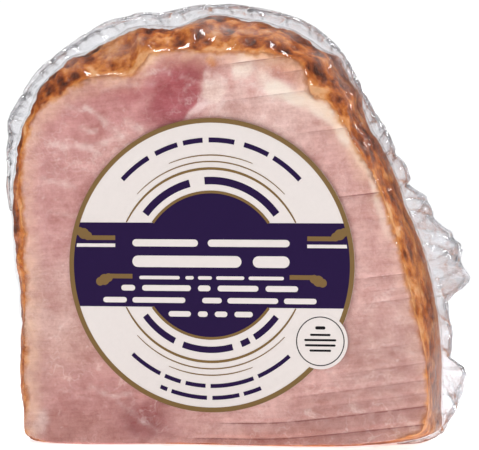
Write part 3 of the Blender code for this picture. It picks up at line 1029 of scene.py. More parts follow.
@dataclass
class Ham:
    """The ham itself: sliced meat with its fat, inside a browned and pitted crust."""

    form: HamForm
    slices: Slices
    own: Own
    meat: CutMeat = field(default_factory=CutMeat)
    finish: HamFinish = field(default_factory=HamFinish)
    voxel: float = 0.9
    film_gap: float = 0.35
    foot_inside: float = 5.0
    well_inside: float = 3.0
    front_ends: tuple[float, float] = (0.6, 4.0)
    pits_start: tuple[float, float] = (-3.0, -0.3)
    pit_size: float = 5.5
    pit_depth: float = 1.5
    pitted: tuple[float, float] = (0.3, 0.75)
    pit_share_low: float = 0.45
    pits_deepen: tuple[float, float] = (70.0, 130.0)
    undulation: tuple[float, float] = (14.0, 0.15)
    left_browning: float = 0.32
    left_browned: tuple[float, float] = (-54.0, -70.0)
    unsoaked: float = 0.65
    unsoaked_right: tuple[float, float] = (20.0, 50.0)
    unsoaked_low: tuple[float, float] = (98.0, 78.0)
    # How dark the painted shadow under each slice's lip is, by the depth of its step.
    shadow_by_step: tuple[float, float] = (1.15, -0.12)
    glaze_fades: tuple[float, float] = (0.4, 1.2)
    glaze: tuple = (
        (-37, 136, 15, -0.36), (33, 121, 6, -0.45), (47, 106, 7, 0.35), (27, 138, 10, 0.2),
        (-6, 141, 6, -0.2),
    )
    streak_waves: tuple[float, float] = (6.0, 1.4)
    streak_cloud: float = 5.0
    streak_patches: tuple[float, float, float, float] = (0.75, 0.8, 0.1, 1.2)
    fat_line: tuple = (
        (15.5, 124.6), (22.3, 121.9), (28, 120.5), (33.8, 117.1), (38.8, 112.4), (43.6, 105.8),
        (48, 98.4), (51.4, 91), (54.8, 83), (57.5, 75),
    )
    fat_waves: tuple[float, float] = (8.0, 3.0)
    fat_fades: tuple[float, float] = (0.45, 1.25)
    fat_widths: tuple[float, float] = (1.7, 3.3)
    fat_widens: tuple[float, float] = (80.0, 118.0)
    fat_shares: tuple[float, float] = (0.35, 0.92)
    fat_whitens: tuple[float, float] = (76.0, 98.0)
    streaks: tuple = (
        Streak(((-51, 118), (-44.6, 113.3), (-37.8, 107)), 1.7, 0.55),
        Streak(((-48.6, 103.7), (-42, 106.2), (-38, 108.6)), 1.5, 0.4),
        Streak(((-64.4, 105), (-51, 104), (-46.8, 102.3)), 1.6, 0.45),
        Streak(((-66.6, 93.3), (-60.5, 91.6), (-55.4, 90.2)), 1.5, 0.4),
        Streak(((-37, 112.4), (-34.5, 111.4), (-31.5, 110.2)), 2.0, 0.6),
        Streak(((-53, 111.2), (-50.5, 110.2), (-48, 109.7)), 1.6, 0.55),
        Streak(((-58, 118.6), (-54, 117.2), (-50, 117)), 1.4, 0.35),
        Streak(((-45, 124), (-36, 125.6), (-27, 125.2)), 1.4, 0.25),
        Streak(((-66, 82), (-60, 80), (-50, 79)), 1.4, 0.3),
        Streak(((-30, 128.6), (-23, 131.2), (-21, 129.8)), 1.2, 0.4),
        Streak(((-17, 128), (-12, 126.6), (-15, 123.4)), 1.1, 0.3),
        Streak(((-7, 119), (-11, 121), (-14, 119.6)), 1.2, 0.35),
        Streak(((-4, 128.5), (-1, 126.8)), 1.2, 0.5),
        Streak(((8, 126.2), (12, 124.8)), 1.2, 0.4),
        Streak(((-1, 120), (-4, 116.5)), 1.4, 0.45),
        Streak(((-40, 15), (-31, 9), (-25, 6)), 1.2, 0.3),
        Streak(((-50, 20), (-40, 17), (-34, 19)), 1.1, 0.3),
        Streak(((28, 13.5), (34, 10)), 1.1, 0.35),
        Streak(((60, 12), (63, 10)), 1.2, 0.4),
        Streak(((44, 14.5), (50, 12.2)), 2.2, 0.3),
    )

    def build(self) -> bpy.types.Object:
        """Makes the ham's mesh, its stored values and its material.

        Returns:
            The piece.
        """
        points, normals, faces = self.form.remeshed(self.voxel, self.slices)
        x, y, z = points.T
        foot = (z < self.form.on_face) & (y > self.form.on_face)
        rim = np.where(foot, self.foot_inside, self.form.rim_distance(points))
        phase = self.row_phase((z - self.slices.rise(x, z))[rim > self.well_inside])
        below, step, set_in = self.slices.at(x, z, self.voxel, phase)
        on_front = 1 - smooth_step(y, *self.front_ends)
        pits = self.pits(points) * (1 - smooth_step(rim, *self.pits_start))
        lift = clouds(points, self.undulation[0], 0.9, 2.0, 3) * self.undulation[1]
        moved = points - normals * (self.film_gap + pits * self.pit_depth)[:, None]
        moved[:, 1] += (set_in + np.abs(lift)) * on_front
        moved[:, 2] = np.maximum(moved[:, 2], self.film_gap)
        piece = make_piece("ham", moved, faces, self.own)
        store(piece, "rim", rim)
        store(piece, "below", np.where(foot, self.slices.far, below))
        # The strength of the painted shadow under each slice's lip, darker where the step is deeper.
        store(piece, "step", np.clip(self.shadow_by_step[0] * step + self.shadow_by_step[1], 0, 1) * on_front)
        store(piece, "pit", pits + self.browned(x, z))
        dry = self.unsoaked * smooth_step(x, *self.unsoaked_right) * smooth_step(z, *self.unsoaked_low)
        store(piece, "soaked", 1 - dry)
        store(piece, "fat", self.fat_band(points, rim))
        store(piece, "sinew", self.sinew(points, rim))
        colours = piece.data.attributes.new("meat", "FLOAT_COLOR", "POINT")
        colours.data.foreach_set("color", self.meat.colours(points).ravel())
        piece.data.materials.append(self.finish.make())
        return piece

    def row_phase(self, levels: np.ndarray) -> float:
        """Finds where the mesh's rows of squares lie.

        Args:
            levels: The heights of points of the face where their slice's line is level.

        Returns:
            The height of one row.
        """
        turn = np.exp(2j * math.pi * levels / self.voxel).mean()
        LOG.info("rows of squares keep in step to %.2f of one", abs(turn))
        return float(np.angle(turn)) / (2 * math.pi) * self.voxel

    def pits(self, points: np.ndarray) -> np.ndarray:
        """Measures how deep the crust is pitted.

        Args:
            points: Points as x, y, z.

        Returns:
            The depth at each, from 0 to 1.
        """
        rough = clouds(points, self.pit_size, 0.8, 2.1, 4)
        low = self.pit_share_low
        share = low + (1 - low) * smooth_step(points[:, 2], *self.pits_deepen)
        return np.clip(self.pitted[0] + self.pitted[1] * rough, 0, 1) * share

    def browned(self, x: np.ndarray, z: np.ndarray) -> np.ndarray:
        """Measures how much darker than usual the oven left the crust.

        Args:
            x: The points' x.
            z: The points' z.

        Returns:
            How much darker, or below 0 how much lighter, each point is.
        """
        darker = self.left_browning * smooth_step(x, *self.left_browned)
        for spot_x, spot_z, radius, change in self.glaze:
            away = np.hypot(x - spot_x, z - spot_z) / radius
            darker = darker + change * (1 - smooth_step(away, *self.glaze_fades))
        return darker

    def fat_band(self, points: np.ndarray, rim: np.ndarray) -> np.ndarray:
        """Measures how fatty the face is along its upper right edge.

        Args:
            points: Points as x, y, z.
            rim: Their distances from the crust's edge.

        Returns:
            The fat's share at each.
        """
        bent = points + wander(points, *self.fat_waves)
        width = np.interp(points[:, 2], self.fat_widens, self.fat_widths)
        away = line_distance(self.fat_line, bent[:, 0], bent[:, 2]) / width
        cover = 1 - smooth_step(away, *self.fat_fades)
        return np.where(rim > 0, cover * np.interp(points[:, 2], self.fat_whitens, self.fat_shares), 0)

    def sinew(self, points: np.ndarray, rim: np.ndarray) -> np.ndarray:
        """Measures how white the streaks of fat and sinew are.

        Args:
            points: Points as x, y, z.
            rim: Their distances from the crust's edge.

        Returns:
            The white's share at each.
        """
        bent = points + wander(points, *self.streak_waves)
        cover = np.max([streak.cover(bent[:, 0], bent[:, 2]) for streak in self.streaks], axis=0)
        patchy = clouds(points, self.streak_cloud, 0.8, 2.0, 3)
        middle, gain, least, most = self.streak_patches
        return np.where(rim > 0, cover * np.clip(middle + gain * patchy, least, most), 0)


@dataclass
class FilmSkin:
    """The film drawn down on the ham, bridging its pits and hazy where it does so over the top."""

    form: HamForm
    own: Own
    finish: VacuumFilm = VacuumFilm("vacuum_film")
    voxel: float = 1.5
    wrinkle_size: tuple[float, float, float] = (9.0, 5.0, 9.0)
    wrinkle: float = 0.6
    wrinkles_start: tuple[float, float] = (-4.0, 0.0)
    smooth_below: float = 0.9
    fold_most: float = 1.2
    cloud_size: float = 9.0
    patchiness: tuple[float, float] = (0.45, 0.9)
    bridge_haze: float = 0.2
    bridged_from: tuple[float, float] = (-3.0, -9.0)
    bridged_high: tuple[float, float] = (105.0, 140.0)

    def build(self) -> bpy.types.Object:
        """Makes the film's skin.

        Returns:
            The piece.
        """
        points, normals, faces = self.form.remeshed(self.voxel)
        rim = self.form.rim_distance(points)
        folds = crumples(points / np.array(self.wrinkle_size))
        raised = np.clip(folds - self.smooth_below, 0, self.fold_most)
        lift = self.wrinkle * raised * (1 - smooth_step(rim, *self.wrinkles_start))
        lift = np.where(points[:, 2] < self.form.on_face, 0, lift)
        moved = points + normals * lift[:, None]
        moved[:, 2] = np.maximum(moved[:, 2], 0)
        piece = make_piece("film_skin", moved, faces, self.own)
        least, gain = self.patchiness
        patchy = np.clip(least + gain * clouds(points, self.cloud_size, 0.8, 2.1, 3), 0, 1)
        high = smooth_step(points[:, 2], *self.bridged_high)
        store(piece, "bridged", patchy * smooth_step(rim, *self.bridged_from) * high * self.bridge_haze)
        piece.data.materials.append(self.finish.make())
        return piece


@dataclass(frozen=True)
class Creases:
    """Creases across a strip of film: their places along it and how far each stands out to either side."""

    places: np.ndarray
    heights: np.ndarray

    @classmethod
    def scattered(cls, length: float, spacing: tuple[float, float], least: float, seed: int) -> "Creases":
        """Scatters creases that stand out to the two sides in turn.

        Args:
            length: The strip's length.
            spacing: The least and the most distance between creases.
            least: The lowest crease, where the highest is 1.
            seed: What the scatter starts from.

        Returns:
            The creases.
        """
        scatter = np.random.default_rng(seed)
        count = int(length / spacing[0]) + 2
        places = np.cumsum(scatter.uniform(*spacing, count)) - spacing[1]
        return cls(places, scatter.uniform(least, 1.0, count) * np.where(np.arange(count) % 2, 1, -1))

    def facets(self, at: np.ndarray) -> np.ndarray:
        """Gives the height of the flat facets between the creases."""
        return np.interp(at, self.places, self.heights)

    def pillows(self, at: np.ndarray) -> np.ndarray:
        """Gives the height, from 0 to 1, of the pillows that puff up between the creases."""
        within = np.interp(at, self.places, np.arange(len(self.places))) % 1.0
        return np.sqrt(1 - (2 * within - 1) ** 2)

    def near(self, at: np.ndarray, width: float) -> np.ndarray:
        """Gives 1 on a crease, falling to 0 within about its width."""
        away = np.abs(at[:, None] - self.places[None, :]).min(1)
        return np.exp(-((away / width) ** 2))


@dataclass(frozen=True)
class LayerForm:
    """How one layer of the margin differs from the other.

    It has its width as a share of the margin's, how far it stands behind the seam at its edge, what its
    creases start from, its share of their slant, and whether they start at the pinches or are scattered.
    """

    name: str
    share_of_width: float
    offset: float
    seed: int
    slant_share: float
    pinched: bool


class Layer(Enum):
    """The two layers of the film's margin."""

    FRONT = LayerForm("film_margin_front", 1.0, -0.5, 7, 1.0, True)
    BACK = LayerForm("film_margin_back", 0.88, 1.2, 21, -0.6, False)


@dataclass
class FilmMargin:
    """The loose, crumpled margin of film outside the seam, in two layers whose edges don't meet.

    Its widths, its rumpling and its pinches stand by their direction from the face's centre in degrees. Its
    scattered creases, such as swings, have their least and most spacing, and their least height.
    """

    form: HamForm
    own: Own
    finish: VacuumFilm = VacuumFilm(
        "crumpled_film_margin", "#FBFBFC", 0.01, 0.1, 0.04, 0.9, 2.2, 0.06, 5.5, 1.05, "#F0F0F3"
    )
    widths: tuple = (
        (-46, 0.4), (-42, 1.6), (-38, 1.8), (-35.5, 4.6), (-32.1, 7.8), (-29, 9.4), (-26, 11.1),
        (-23.6, 12.4), (-22.6, 11.4), (-21.6, 5.6), (-20, 6.4), (-15.4, 6.7), (-12.4, 6.2), (-8.6, 6.1),
        (-6.2, 9.5), (-4.6, 13.8), (-3.1, 16), (-1.6, 17.1), (0, 16.6), (1.5, 15.2), (3.1, 16.3),
        (4.6, 16.8), (6.1, 16.1), (7.6, 13.6), (9.2, 14.5), (10.7, 12.4), (12.3, 10.7), (13.8, 9.4),
        (15.3, 10.3), (16.9, 10), (18.4, 8.9), (19.9, 9.3), (21.6, 7.8), (23.1, 6.3), (24.7, 5.2),
        (26.2, 6.7), (29.3, 7), (32.4, 6.1), (34, 4.8), (36, 5.6), (39, 5.9), (48, 4.5), (57, 4.7),
        (66, 4.5), (76, 4.5), (85, 4.6), (90, 4.4), (94, 3.7), (98.5, 4.6), (103, 6), (108, 5.8),
        (112, 4.2), (117, 5.2), (121, 5.1), (129, 4), (138, 3.8), (147, 5.7), (156, 1.5), (166, 0.5),
    )
    root: float = 4.0
    ahead: float = 1.5
    columns: int = 1000
    straight_rows: int = 17
    curled_rows: int = 9
    thick: float = 0.14
    swing: float = 0.9
    puff: float = 1.1
    puff_least: float = 0.4
    puff_more: float = 0.6
    creased_width: float = 5.0
    crease_power: float = 1.3
    wide: float = 9.0
    swings: tuple = ((3.0, 9.0), 0.3)
    lobes: tuple = ((3.2, 11.0), 0.1)
    leans: tuple = ((9.0, 22.0), 1.0)
    clouding: tuple = ((3.0, 8.0), 0.4)
    lean_back: float = 0.2
    lobe_share: float = 0.15
    lobe_mix: tuple[float, float] = (0.6, 0.8)
    lobes_drawn_to: float = math.radians(37)
    rumpled: tuple = (
        (-46, 1), (15, 1), (28, 0.7), (45, 0.4), (90, 0.5), (104, 0.35), (135, 0.3), (146, 0.9),
        (166, 1),
    )
    crumple: float = 0.7
    fine_least: float = 0.7
    fine_more: float = 0.4
    fine_middle: float = 1.2
    crumple_size: tuple[float, float] = (8.0, 2.4)
    curl_radius: tuple[float, float] = (0.5, 1.2)
    curls_fully: float = 4.0
    curl_least: float = 0.15
    least_reach: float = 0.05
    curl_turn: float = math.radians(230)
    slant: float = 0.65
    cloud: tuple[float, float] = (0.02, 0.3)
    cloud_least: float = 0.1
    pleat: float = 0.5
    pleat_width: float = 0.5
    pleats_grow: float = 1.6
    tight: float = 0.22
    pinches: tuple = (
        -46, -41, -37, -31, -21.6, -14, -8.6, 1.5, 7.6, 13.8, 18.4, 24.7, 34, 44, 56, 67, 77, 86, 94,
        103, 113, 122, 131, 140, 150, 158, 166,
    )

    def layer(self, which: Layer) -> bpy.types.Object:
        """Makes one layer of the margin.

        Args:
            which: The layer.

        Returns:
            The piece.
        """
        how, seed = which.value, which.value.seed
        directions, widths = np.array(self.widths).T
        angles = np.radians(np.linspace(directions[0], directions[-1], self.columns))
        width = np.interp(angles, np.radians(directions), widths)
        girth = self.form.reach(self.form.crust_girth, angles)
        x, z = self.form.in_plane(angles, girth)
        length = path_length(x, z)
        whole = length[-1]
        depth = self.form.girth_depth(x) - self.ahead
        size = (width / self.creased_width) ** self.crease_power
        folds = [Creases.scattered(whole, *self.swings, seed + k).facets(length) for k in range(3)]
        lobed = Creases.scattered(whole, *self.lobes, seed + 3)
        if how.pinched:
            places = np.interp(np.radians(self.pinches), angles, length)
            lobed = Creases(places, np.interp(places, lobed.places, lobed.heights))
        leaning = Creases.scattered(whole, *self.leans, seed + 4).facets(length)
        lean = np.sign(leaning + self.lean_back)
        cloudy = Creases.scattered(whole, *self.clouding, seed + 5)
        rumpled = np.interp(angles, *np.array([(math.radians(a), r) for a, r in self.rumpled]).T)
        radii, reached = self.edge(angles, width, rumpled, lobed, length, how.share_of_width)
        rows, haze, pleats = [], [], []
        curled = np.linspace(1, 2, self.curled_rows + 1)[1:]
        for share in (*np.linspace(0, 1, self.straight_rows), *curled):
            flat = min(share, 1)
            turn = self.curl_turn * max(share - 1, 0)
            past = (self.root + reached) * flat - self.root + radii * math.sin(turn)
            x, z = self.form.in_plane(angles, girth + past)
            loose = np.clip(past / width, 0, 1)
            fold = sum(max(0.0, 1 - abs(flat * 2 - k)) * f for k, f in enumerate(folds))
            around, across = length / self.crumple_size[0], share * width / self.crumple_size[1]
            crumple = crumples(np.column_stack([around, across, np.full(self.columns, seed)]))
            slanted = length + self.slant * (past - width) * how.slant_share
            pillowed = self.puff * (self.puff_least + self.puff_more * rumpled) * lobed.pillows(slanted)
            puffed = self.swing * fold - pillowed
            fine = self.crumple * (self.fine_least + self.fine_more * size) * (crumple - self.fine_middle)
            y = depth + loose * (size * puffed + how.offset + fine) + lean * radii * (1 - math.cos(turn))
            rows.append(np.column_stack([x, y, z]))
            sheen = 0.5 + 0.5 * cloudy.facets(slanted)
            wide = np.clip(width / self.wide, self.cloud_least, 1)
            haze.append(loose * wide * (self.cloud[0] + self.cloud[1] * sheen))
            tight = self.tight * loose * (1 - np.clip(width / self.wide, 0, 1))
            pleat = self.pleat * lobed.near(slanted, self.pleat_width)
            pleats.append(tight + np.minimum(loose * self.pleats_grow, 1) * pleat)
        piece = self.sheet(how.name, np.array(rows))
        for name, values in (("bridged", haze), ("pleated", pleats)):
            store(piece, name, np.tile(np.array(values).ravel(), 2))
        piece.data.materials.append(self.finish.make())
        return piece

    def edge(
        self, angles: np.ndarray, width: np.ndarray, rumpled: np.ndarray, lobed: Creases, length: np.ndarray,
        share_of_width: float,
    ) -> tuple[np.ndarray, np.ndarray]:
        """Finds the lobed edge where a layer curls back.

        Args:
            angles: The columns' directions.
            width: The margin's width at each column.
            rumpled: How rumpled it is there.
            lobed: The creases between its lobes.
            length: How far along the girth each column stands.
            share_of_width: The layer's width as a share of the margin's.

        Returns:
            The curl's radius, and how far out the layer reaches before it.
        """
        facets, pillows = lobed.facets(length), lobed.pillows(length)
        scattered = np.where(angles > self.lobes_drawn_to, self.lobe_share * rumpled, 0)
        straight, rounded = self.lobe_mix
        lobes = 1 + scattered * (straight * facets + rounded * (pillows - 1))
        narrow = np.clip(width / self.curls_fully, self.curl_least, 1)
        radii = np.interp(np.abs(facets), (0, 1), self.curl_radius) * narrow
        return radii, np.maximum(width * share_of_width * lobes - radii, self.least_reach)

    def sheet(self, name: str, middle: np.ndarray) -> bpy.types.Object:
        """Makes a closed thin sheet, half its thickness each way from a grid of points.

        Args:
            name: The piece's name.
            middle: The grid as rows by columns by x, y, z.

        Returns:
            The piece.
        """
        rows, columns = middle.shape[:2]
        push = np.cross(np.gradient(middle, axis=0), np.gradient(middle, axis=1))
        push *= 0.5 * self.thick / np.maximum(np.linalg.norm(push, axis=2, keepdims=True), 1e-9)
        vertices = np.vstack([(middle - push).reshape(-1, 3), (middle + push).reshape(-1, 3)])
        vertices[:, 2] = np.maximum(vertices[:, 2], 0)
        far = rows * columns
        faces = []
        for r in range(rows - 1):
            for a in range(r * columns, (r + 1) * columns - 1):
                b, c, d = a + 1, a + columns + 1, a + columns
                faces += [(a, b, c, d), (a + far, d + far, c + far, b + far)]
        right = [r * columns + columns - 1 for r in range(1, rows)]
        top = [far - 1 - c for c in range(1, columns)]
        left = [r * columns for r in range(rows - 2, 0, -1)]
        border = list(range(columns)) + right + top + left
        for a, b in zip(border, border[1:] + border[:1]):
            faces.append((a, a + far, b + far, b))
        return make_piece(name, vertices, faces, self.own)

    def build(self) -> list[bpy.types.Object]:
        """Makes both layers."""
        return [self.layer(which) for which in Layer]


def circle(radius: float, centre: tuple[float, float] = (0.0, 0.0), steps: int = 180) -> list:
    """Gives points round a circle."""
    turns = np.linspace(0, 2 * math.pi, steps, endpoint=False)
    return [(centre[0] + radius * math.cos(t), centre[1] + radius * math.sin(t)) for t in turns]


def arc(radius: float, start: float, end: float) -> list:
    """Gives points along an arc between two directions in degrees."""
    turns = np.radians(np.linspace(start, end, max(4, int(abs(end - start)))))
    return [(radius * math.cos(t), radius * math.sin(t)) for t in turns]


def dash(x0: float, x1: float, z: float, height: float) -> list:
    """Draws a level dash with rounded ends.

    Args:
        x0: Its left end.
        x1: Its right end.
        z: Its middle's height.
        height: How high it is.

    Returns:
        Its outline.
    """
    r = height / 2
    outline = []
    for cx, start, end in ((x1 - r, -90, 90), (x0 + r, 90, 270)):
        turns = np.radians(np.linspace(start, end, 9))
        outline += [(cx + r * math.cos(t), z + r * math.sin(t)) for t in turns]
    return outline


@dataclass
class FlatShapes:
    """Flat closed shapes, from one y to another, gathered round a middle into one mesh."""

    middle: tuple[float, float]
    back: float
    front: float
    vertices: list = field(default_factory=list)
    faces: list = field(default_factory=list)

    def add_lines(self, lines: tuple, further_back: float = 0.0, further_front: float = 0.0) -> int:
        """Adds the points of lines at the back and then at the front.

        Args:
            lines: Lines of x and z from the middle.
            further_back: What is added to the back's y.
            further_front: What is added to the front's y.

        Returns:
            The first point's number.
        """
        first = len(self.vertices)
        cx, cz = self.middle
        for y in (self.back + further_back, self.front + further_front):
            for line in lines:
                self.vertices += [(cx + x, y, cz + z) for x, z in line]
        return first

    def prism(self, outline: list, further_back: float = 0.0, further_front: float = 0.0) -> None:
        """Adds a flat closed shape.

        Args:
            outline: Its convex outline.
            further_back: What is added to the back's y.
            further_front: What is added to the front's y.
        """
        base, count = self.add_lines((outline,), further_back, further_front), len(outline)
        front = range(base + 2 * count - 1, base + count - 1, -1)
        self.faces += [tuple(range(base, base + count)), tuple(front)]
        for k in range(count):
            after = (k + 1) % count
            self.faces.append((base + k, base + count + k, base + count + after, base + after))

    def ribbon(self, inner: list, outer: list, closed: bool = False) -> None:
        """Adds a flat strip between two lines of equally many points.

        Args:
            inner: The inner line.
            outer: The outer line.
            closed: Whether the strip runs all the way round.
        """
        base, count = self.add_lines((inner, outer)), len(inner)
        a, b, c, d = (base + count * n for n in range(4))
        for k in range(count if closed else count - 1):
            after = (k + 1) % count
            self.faces += [
                (a + k, b + k, b + after, a + after), (c + k, c + after, d + after, d + k),
                (a + k, a + after, c + after, c + k), (b + k, d + k, d + after, b + after),
            ]
        if not closed:
            self.faces += [(a + k, b + k, d + k, c + k) for k in (0, count - 1)]


class Ink(Enum):
    """The label's printing inks: their colour, roughness, and back and front from the paper's front."""

    GOLD = ("#7D633E", 0.42, 0.01, -0.07)
    PURPLE = ("#281841", 0.45, 0.01, -0.04)
    WHITE = ("#E4DCD8", 0.45, -0.03, -0.09)
    BLACK = ("#1E1B1E", 0.45, -0.08, -0.12)


@dataclass
class Label:
    """The round label of coated paper with its small round tab, and each ink as a thin layer on it.

    The print is fields of colour and plain shapes: where lines of words would be there are rows of dashes.
    """

    own: Own
    radius: float = 50.8
    border: float = 1.65
    tab: tuple[float, float] = (38.8, -25.8)
    tab_radius: float = 9.6
    tab_steps: int = 72
    tab_proud: tuple[float, float] = (-0.05, -0.09)
    back: float = -0.3
    front: float = -0.78
    band: tuple[float, float] = (-14.55, 14.6)
    disc: float = 24.8
    disc_overlap: float = 0.1
    disc_front: float = 0.005
    disc_ring: float = 0.95
    ring_meets_band: float = 0.5
    paper: str = "#E4DCD8"
    rows: tuple = (
        (7.6, 2.5, (-28, -4.5), (-1, 28)),
        (1.2, 4.0, (-28, 11), (15, 28)),
        (-4.4, 1.2, (-25.5, -11), (-9, -6), (-4.5, 0.5), (2, 12), (13.5, 26)),
        (-8.0, 2.0, (-32, -27), (-24.5, -7), (-4.5, 0), (2.5, 17), (19.5, 31)),
        (-12.2, 1.9, (-38.5, -30), (-28, -9), (-3, 4), (6, 24), (26, 37.5)),
        (-16.9, 1.9, (-15, -7), (-4.5, -1), (1.5, 6), (8.5, 15)),
    )
    arcs: tuple = (
        (43.2, 1.7, 137, 43, (0.17, 0.04, 0.12, 0.03, 0.1, 0.03, 0.13, 0.05, 0.13, 0.03, 0.17)),
        (29.2, 2.6, 143, 37, (0.36, 0.1, 0.54)),
        (29.2, 2.2, 217, 323, (0.26, 0.06, 0.34, 0.06, 0.06, 0.04, 0.2)),
        (41.7, 1.4, 228, 312, (0.2, 0.03, 0.1, 0.03, 0.12, 0.03, 0.26, 0.03, 0.22)),
        (45.8, 1.4, 247, 293, (0.08, 0.05, 0.4, 0.06, 0.3, 0.05, 0.2)),
    )
    gold_arcs: tuple = ((33.8, 0.9, 26, 154), (36.0, 0.45, 43, 137), (38.2, 0.42, 67, 113))
    arc_ends: float = 0.45
    arc_fullness: float = 0.6
    bars: tuple = ((34.2, 43.5, 9.3, 2.6), (28, 36, -4.0, -2.2))
    bar_half: float = 0.8
    bar_end: float = 1.0
    bar_sunk: float = -0.05
    knobs: tuple[float, float, float] = (1.5, 1.9, 1.5)
    knob_steps: int = 24
    knob_places: tuple[float, float] = (0.6, 1.5)
    knob_lifts: tuple[float, float] = (0.25, 0.3)
    knob_front: float = -0.002
    white_bar: tuple = ((34.2, 6.1), (48.2, 6.1), (48.0, 7.3), (34.2, 7.3))
    seal_rings: tuple[float, float] = (8.15, 8.5)
    seal_rows: tuple = (
        (4.6, 1.8, 1.1), (2.2, 3.6, 0.75), (0.4, 5.6, 0.75), (-1.4, 5.4, 0.75), (-3.2, 3.8, 0.75),
    )

    def layer(self, ink: Ink) -> FlatShapes:
        """Starts the layer of one ink, a little into what lies under it."""
        _, _, back, front = ink.value
        return FlatShapes(self.own.label_centre, self.front + back, self.front + front)

    def piece(self, name: str, shapes: FlatShapes, finish: PrintedPaper) -> bpy.types.Object:
        """Makes one flat-faced piece of the label.

        Args:
            name: The piece's name.
            shapes: Its shapes.
            finish: Its paper or ink.

        Returns:
            The piece.
        """
        made = make_piece(name, np.array(shapes.vertices), shapes.faces, self.own)
        made.data.shade_flat()
        made.data.materials.append(finish.make())
        return made

    def printed(self, ink: Ink, shapes: FlatShapes) -> bpy.types.Object:
        """Makes the piece of one ink."""
        word = ink.name.lower()
        return self.piece(f"label_{word}_ink", shapes, PrintedPaper(f"{word}_label_ink", *ink.value[:2]))

    def sheet(self) -> bpy.types.Object:
        """Makes the paper: the round sheet and the tab stuck over its edge.

        Returns:
            The piece.
        """
        shapes = FlatShapes(self.own.label_centre, self.back, self.front)
        shapes.prism(circle(self.radius))
        shapes.prism(circle(self.tab_radius, self.tab, self.tab_steps), *self.tab_proud)
        return self.piece("label_paper", shapes, PrintedPaper("coated_label_paper", self.paper))

    def gold_ink(self) -> bpy.types.Object:
        """Makes the border, the ring, the arcs and the plain ornaments.

        Returns:
            The piece.
        """
        shapes = self.layer(Ink.GOLD)
        shapes.ribbon(circle(self.radius - self.border), circle(self.radius), True)
        start = math.degrees(math.asin(self.band[1] / (self.disc + self.ring_meets_band)))
        ring = (self.disc, self.disc + self.disc_ring)
        strips = [tuple(arc(radius, start, 180 - start) for radius in ring)]
        for radius, thick, first, last in self.gold_arcs:
            outer = arc(radius, first, last)
            swelling = np.sin(np.linspace(0, math.pi, len(outer))) ** self.arc_fullness
            swelling = self.arc_ends + (1 - self.arc_ends) * swelling
            inner = [(x * (1 - s * thick / radius), z * (1 - s * thick / radius))
                     for (x, z), s in zip(outer, swelling)]
            strips.append((inner, outer))
        for flip in (1, -1):
            for inner, outer in strips:
                shapes.ribbon([(x, flip * z) for x, z in inner], [(x, flip * z) for x, z in outer])
        for side in (1, -1):
            for x0, x1, z, lifted in self.bars:
                low, high, end = z - self.bar_half, z + self.bar_half, x1 + self.bar_end
                corners = ((x0, low), (end, low), (end, high), (x0, high))
                shapes.prism([(side * x, corner_z) for x, corner_z in corners], self.bar_sunk)
                for k, size in enumerate(self.knobs):
                    out = x1 + self.knob_places[0] + self.knob_places[1] * k
                    middle = (side * out, z + lifted * (self.knob_lifts[0] + self.knob_lifts[1] * k))
                    outline = circle(size, middle, self.knob_steps)
                    shapes.prism(outline, self.bar_sunk, self.knob_front * (k + 1))
        return self.printed(Ink.GOLD, shapes)

    def purple_ink(self) -> bpy.types.Object:
        """Makes the band, the disc behind it and the dashes along the curved lines.

        Returns:
            The piece.
        """
        shapes = self.layer(Ink.PURPLE)
        inside = self.radius - self.border + self.disc_overlap
        low, high = (math.degrees(math.asin(edge / inside)) for edge in self.band)
        shapes.prism(arc(inside, low, high) + arc(inside, 180 - high, 180 - low))
        shapes.prism(circle(self.disc + self.disc_overlap), 0.0, self.disc_front)
        for radius, thick, start, end, shares in self.arcs:
            total, at = sum(shares), 0.0
            for k, share in enumerate(shares):
                a, b = (start + (end - start) * t / total for t in (at, at + share))
                at += share
                if k % 2 == 0:
                    shapes.ribbon(*(arc(radius + s * thick / 2, a, b) for s in (-1, 1)))
        return self.printed(Ink.PURPLE, shapes)

    def white_ink(self) -> bpy.types.Object:
        """Makes the bars at the band's two ends and the rows of dashes on it.

        Returns:
            The piece.
        """
        shapes = self.layer(Ink.WHITE)
        for side in (1, -1):
            shapes.prism([(side * x, z) for x, z in self.white_bar])
        for z, height, *dashes in self.rows:
            for x0, x1 in dashes:
                shapes.prism(dash(x0, x1, z, height))
        return self.printed(Ink.WHITE, shapes)

    def black_ink(self) -> bpy.types.Object:
        """Makes the thin ring and the short dashes on the tab.

        Returns:
            The piece.
        """
        shapes = self.layer(Ink.BLACK)
        shapes.ribbon(*(circle(radius, self.tab, 90) for radius in self.seal_rings), True)
        x, z = self.tab
        for up, half, height in self.seal_rows:
            shapes.prism(dash(x - half, x + half, z + up, height))
        return self.printed(Ink.BLACK, shapes)

    def build(self) -> list[bpy.types.Object]:
        """Makes the paper and its inks."""
        return [self.sheet(), self.gold_ink(), self.purple_ink(), self.white_ink(), self.black_ink()]


class Task(Enum):
    """What a lamp is for."""

    LIGHT = "lights surfaces and isn't mirrored"
    GLINT = "is mirrored in the film and lights nothing"


@dataclass(frozen=True)
class Lamp:
    """A square soft lamp: its place and side in millimetres, its power in watts and its colour."""

    name: str
    task: Task
    place: tuple[float, float, float]
    side: float
    power: float
    colour: str = "#FFFFFF"


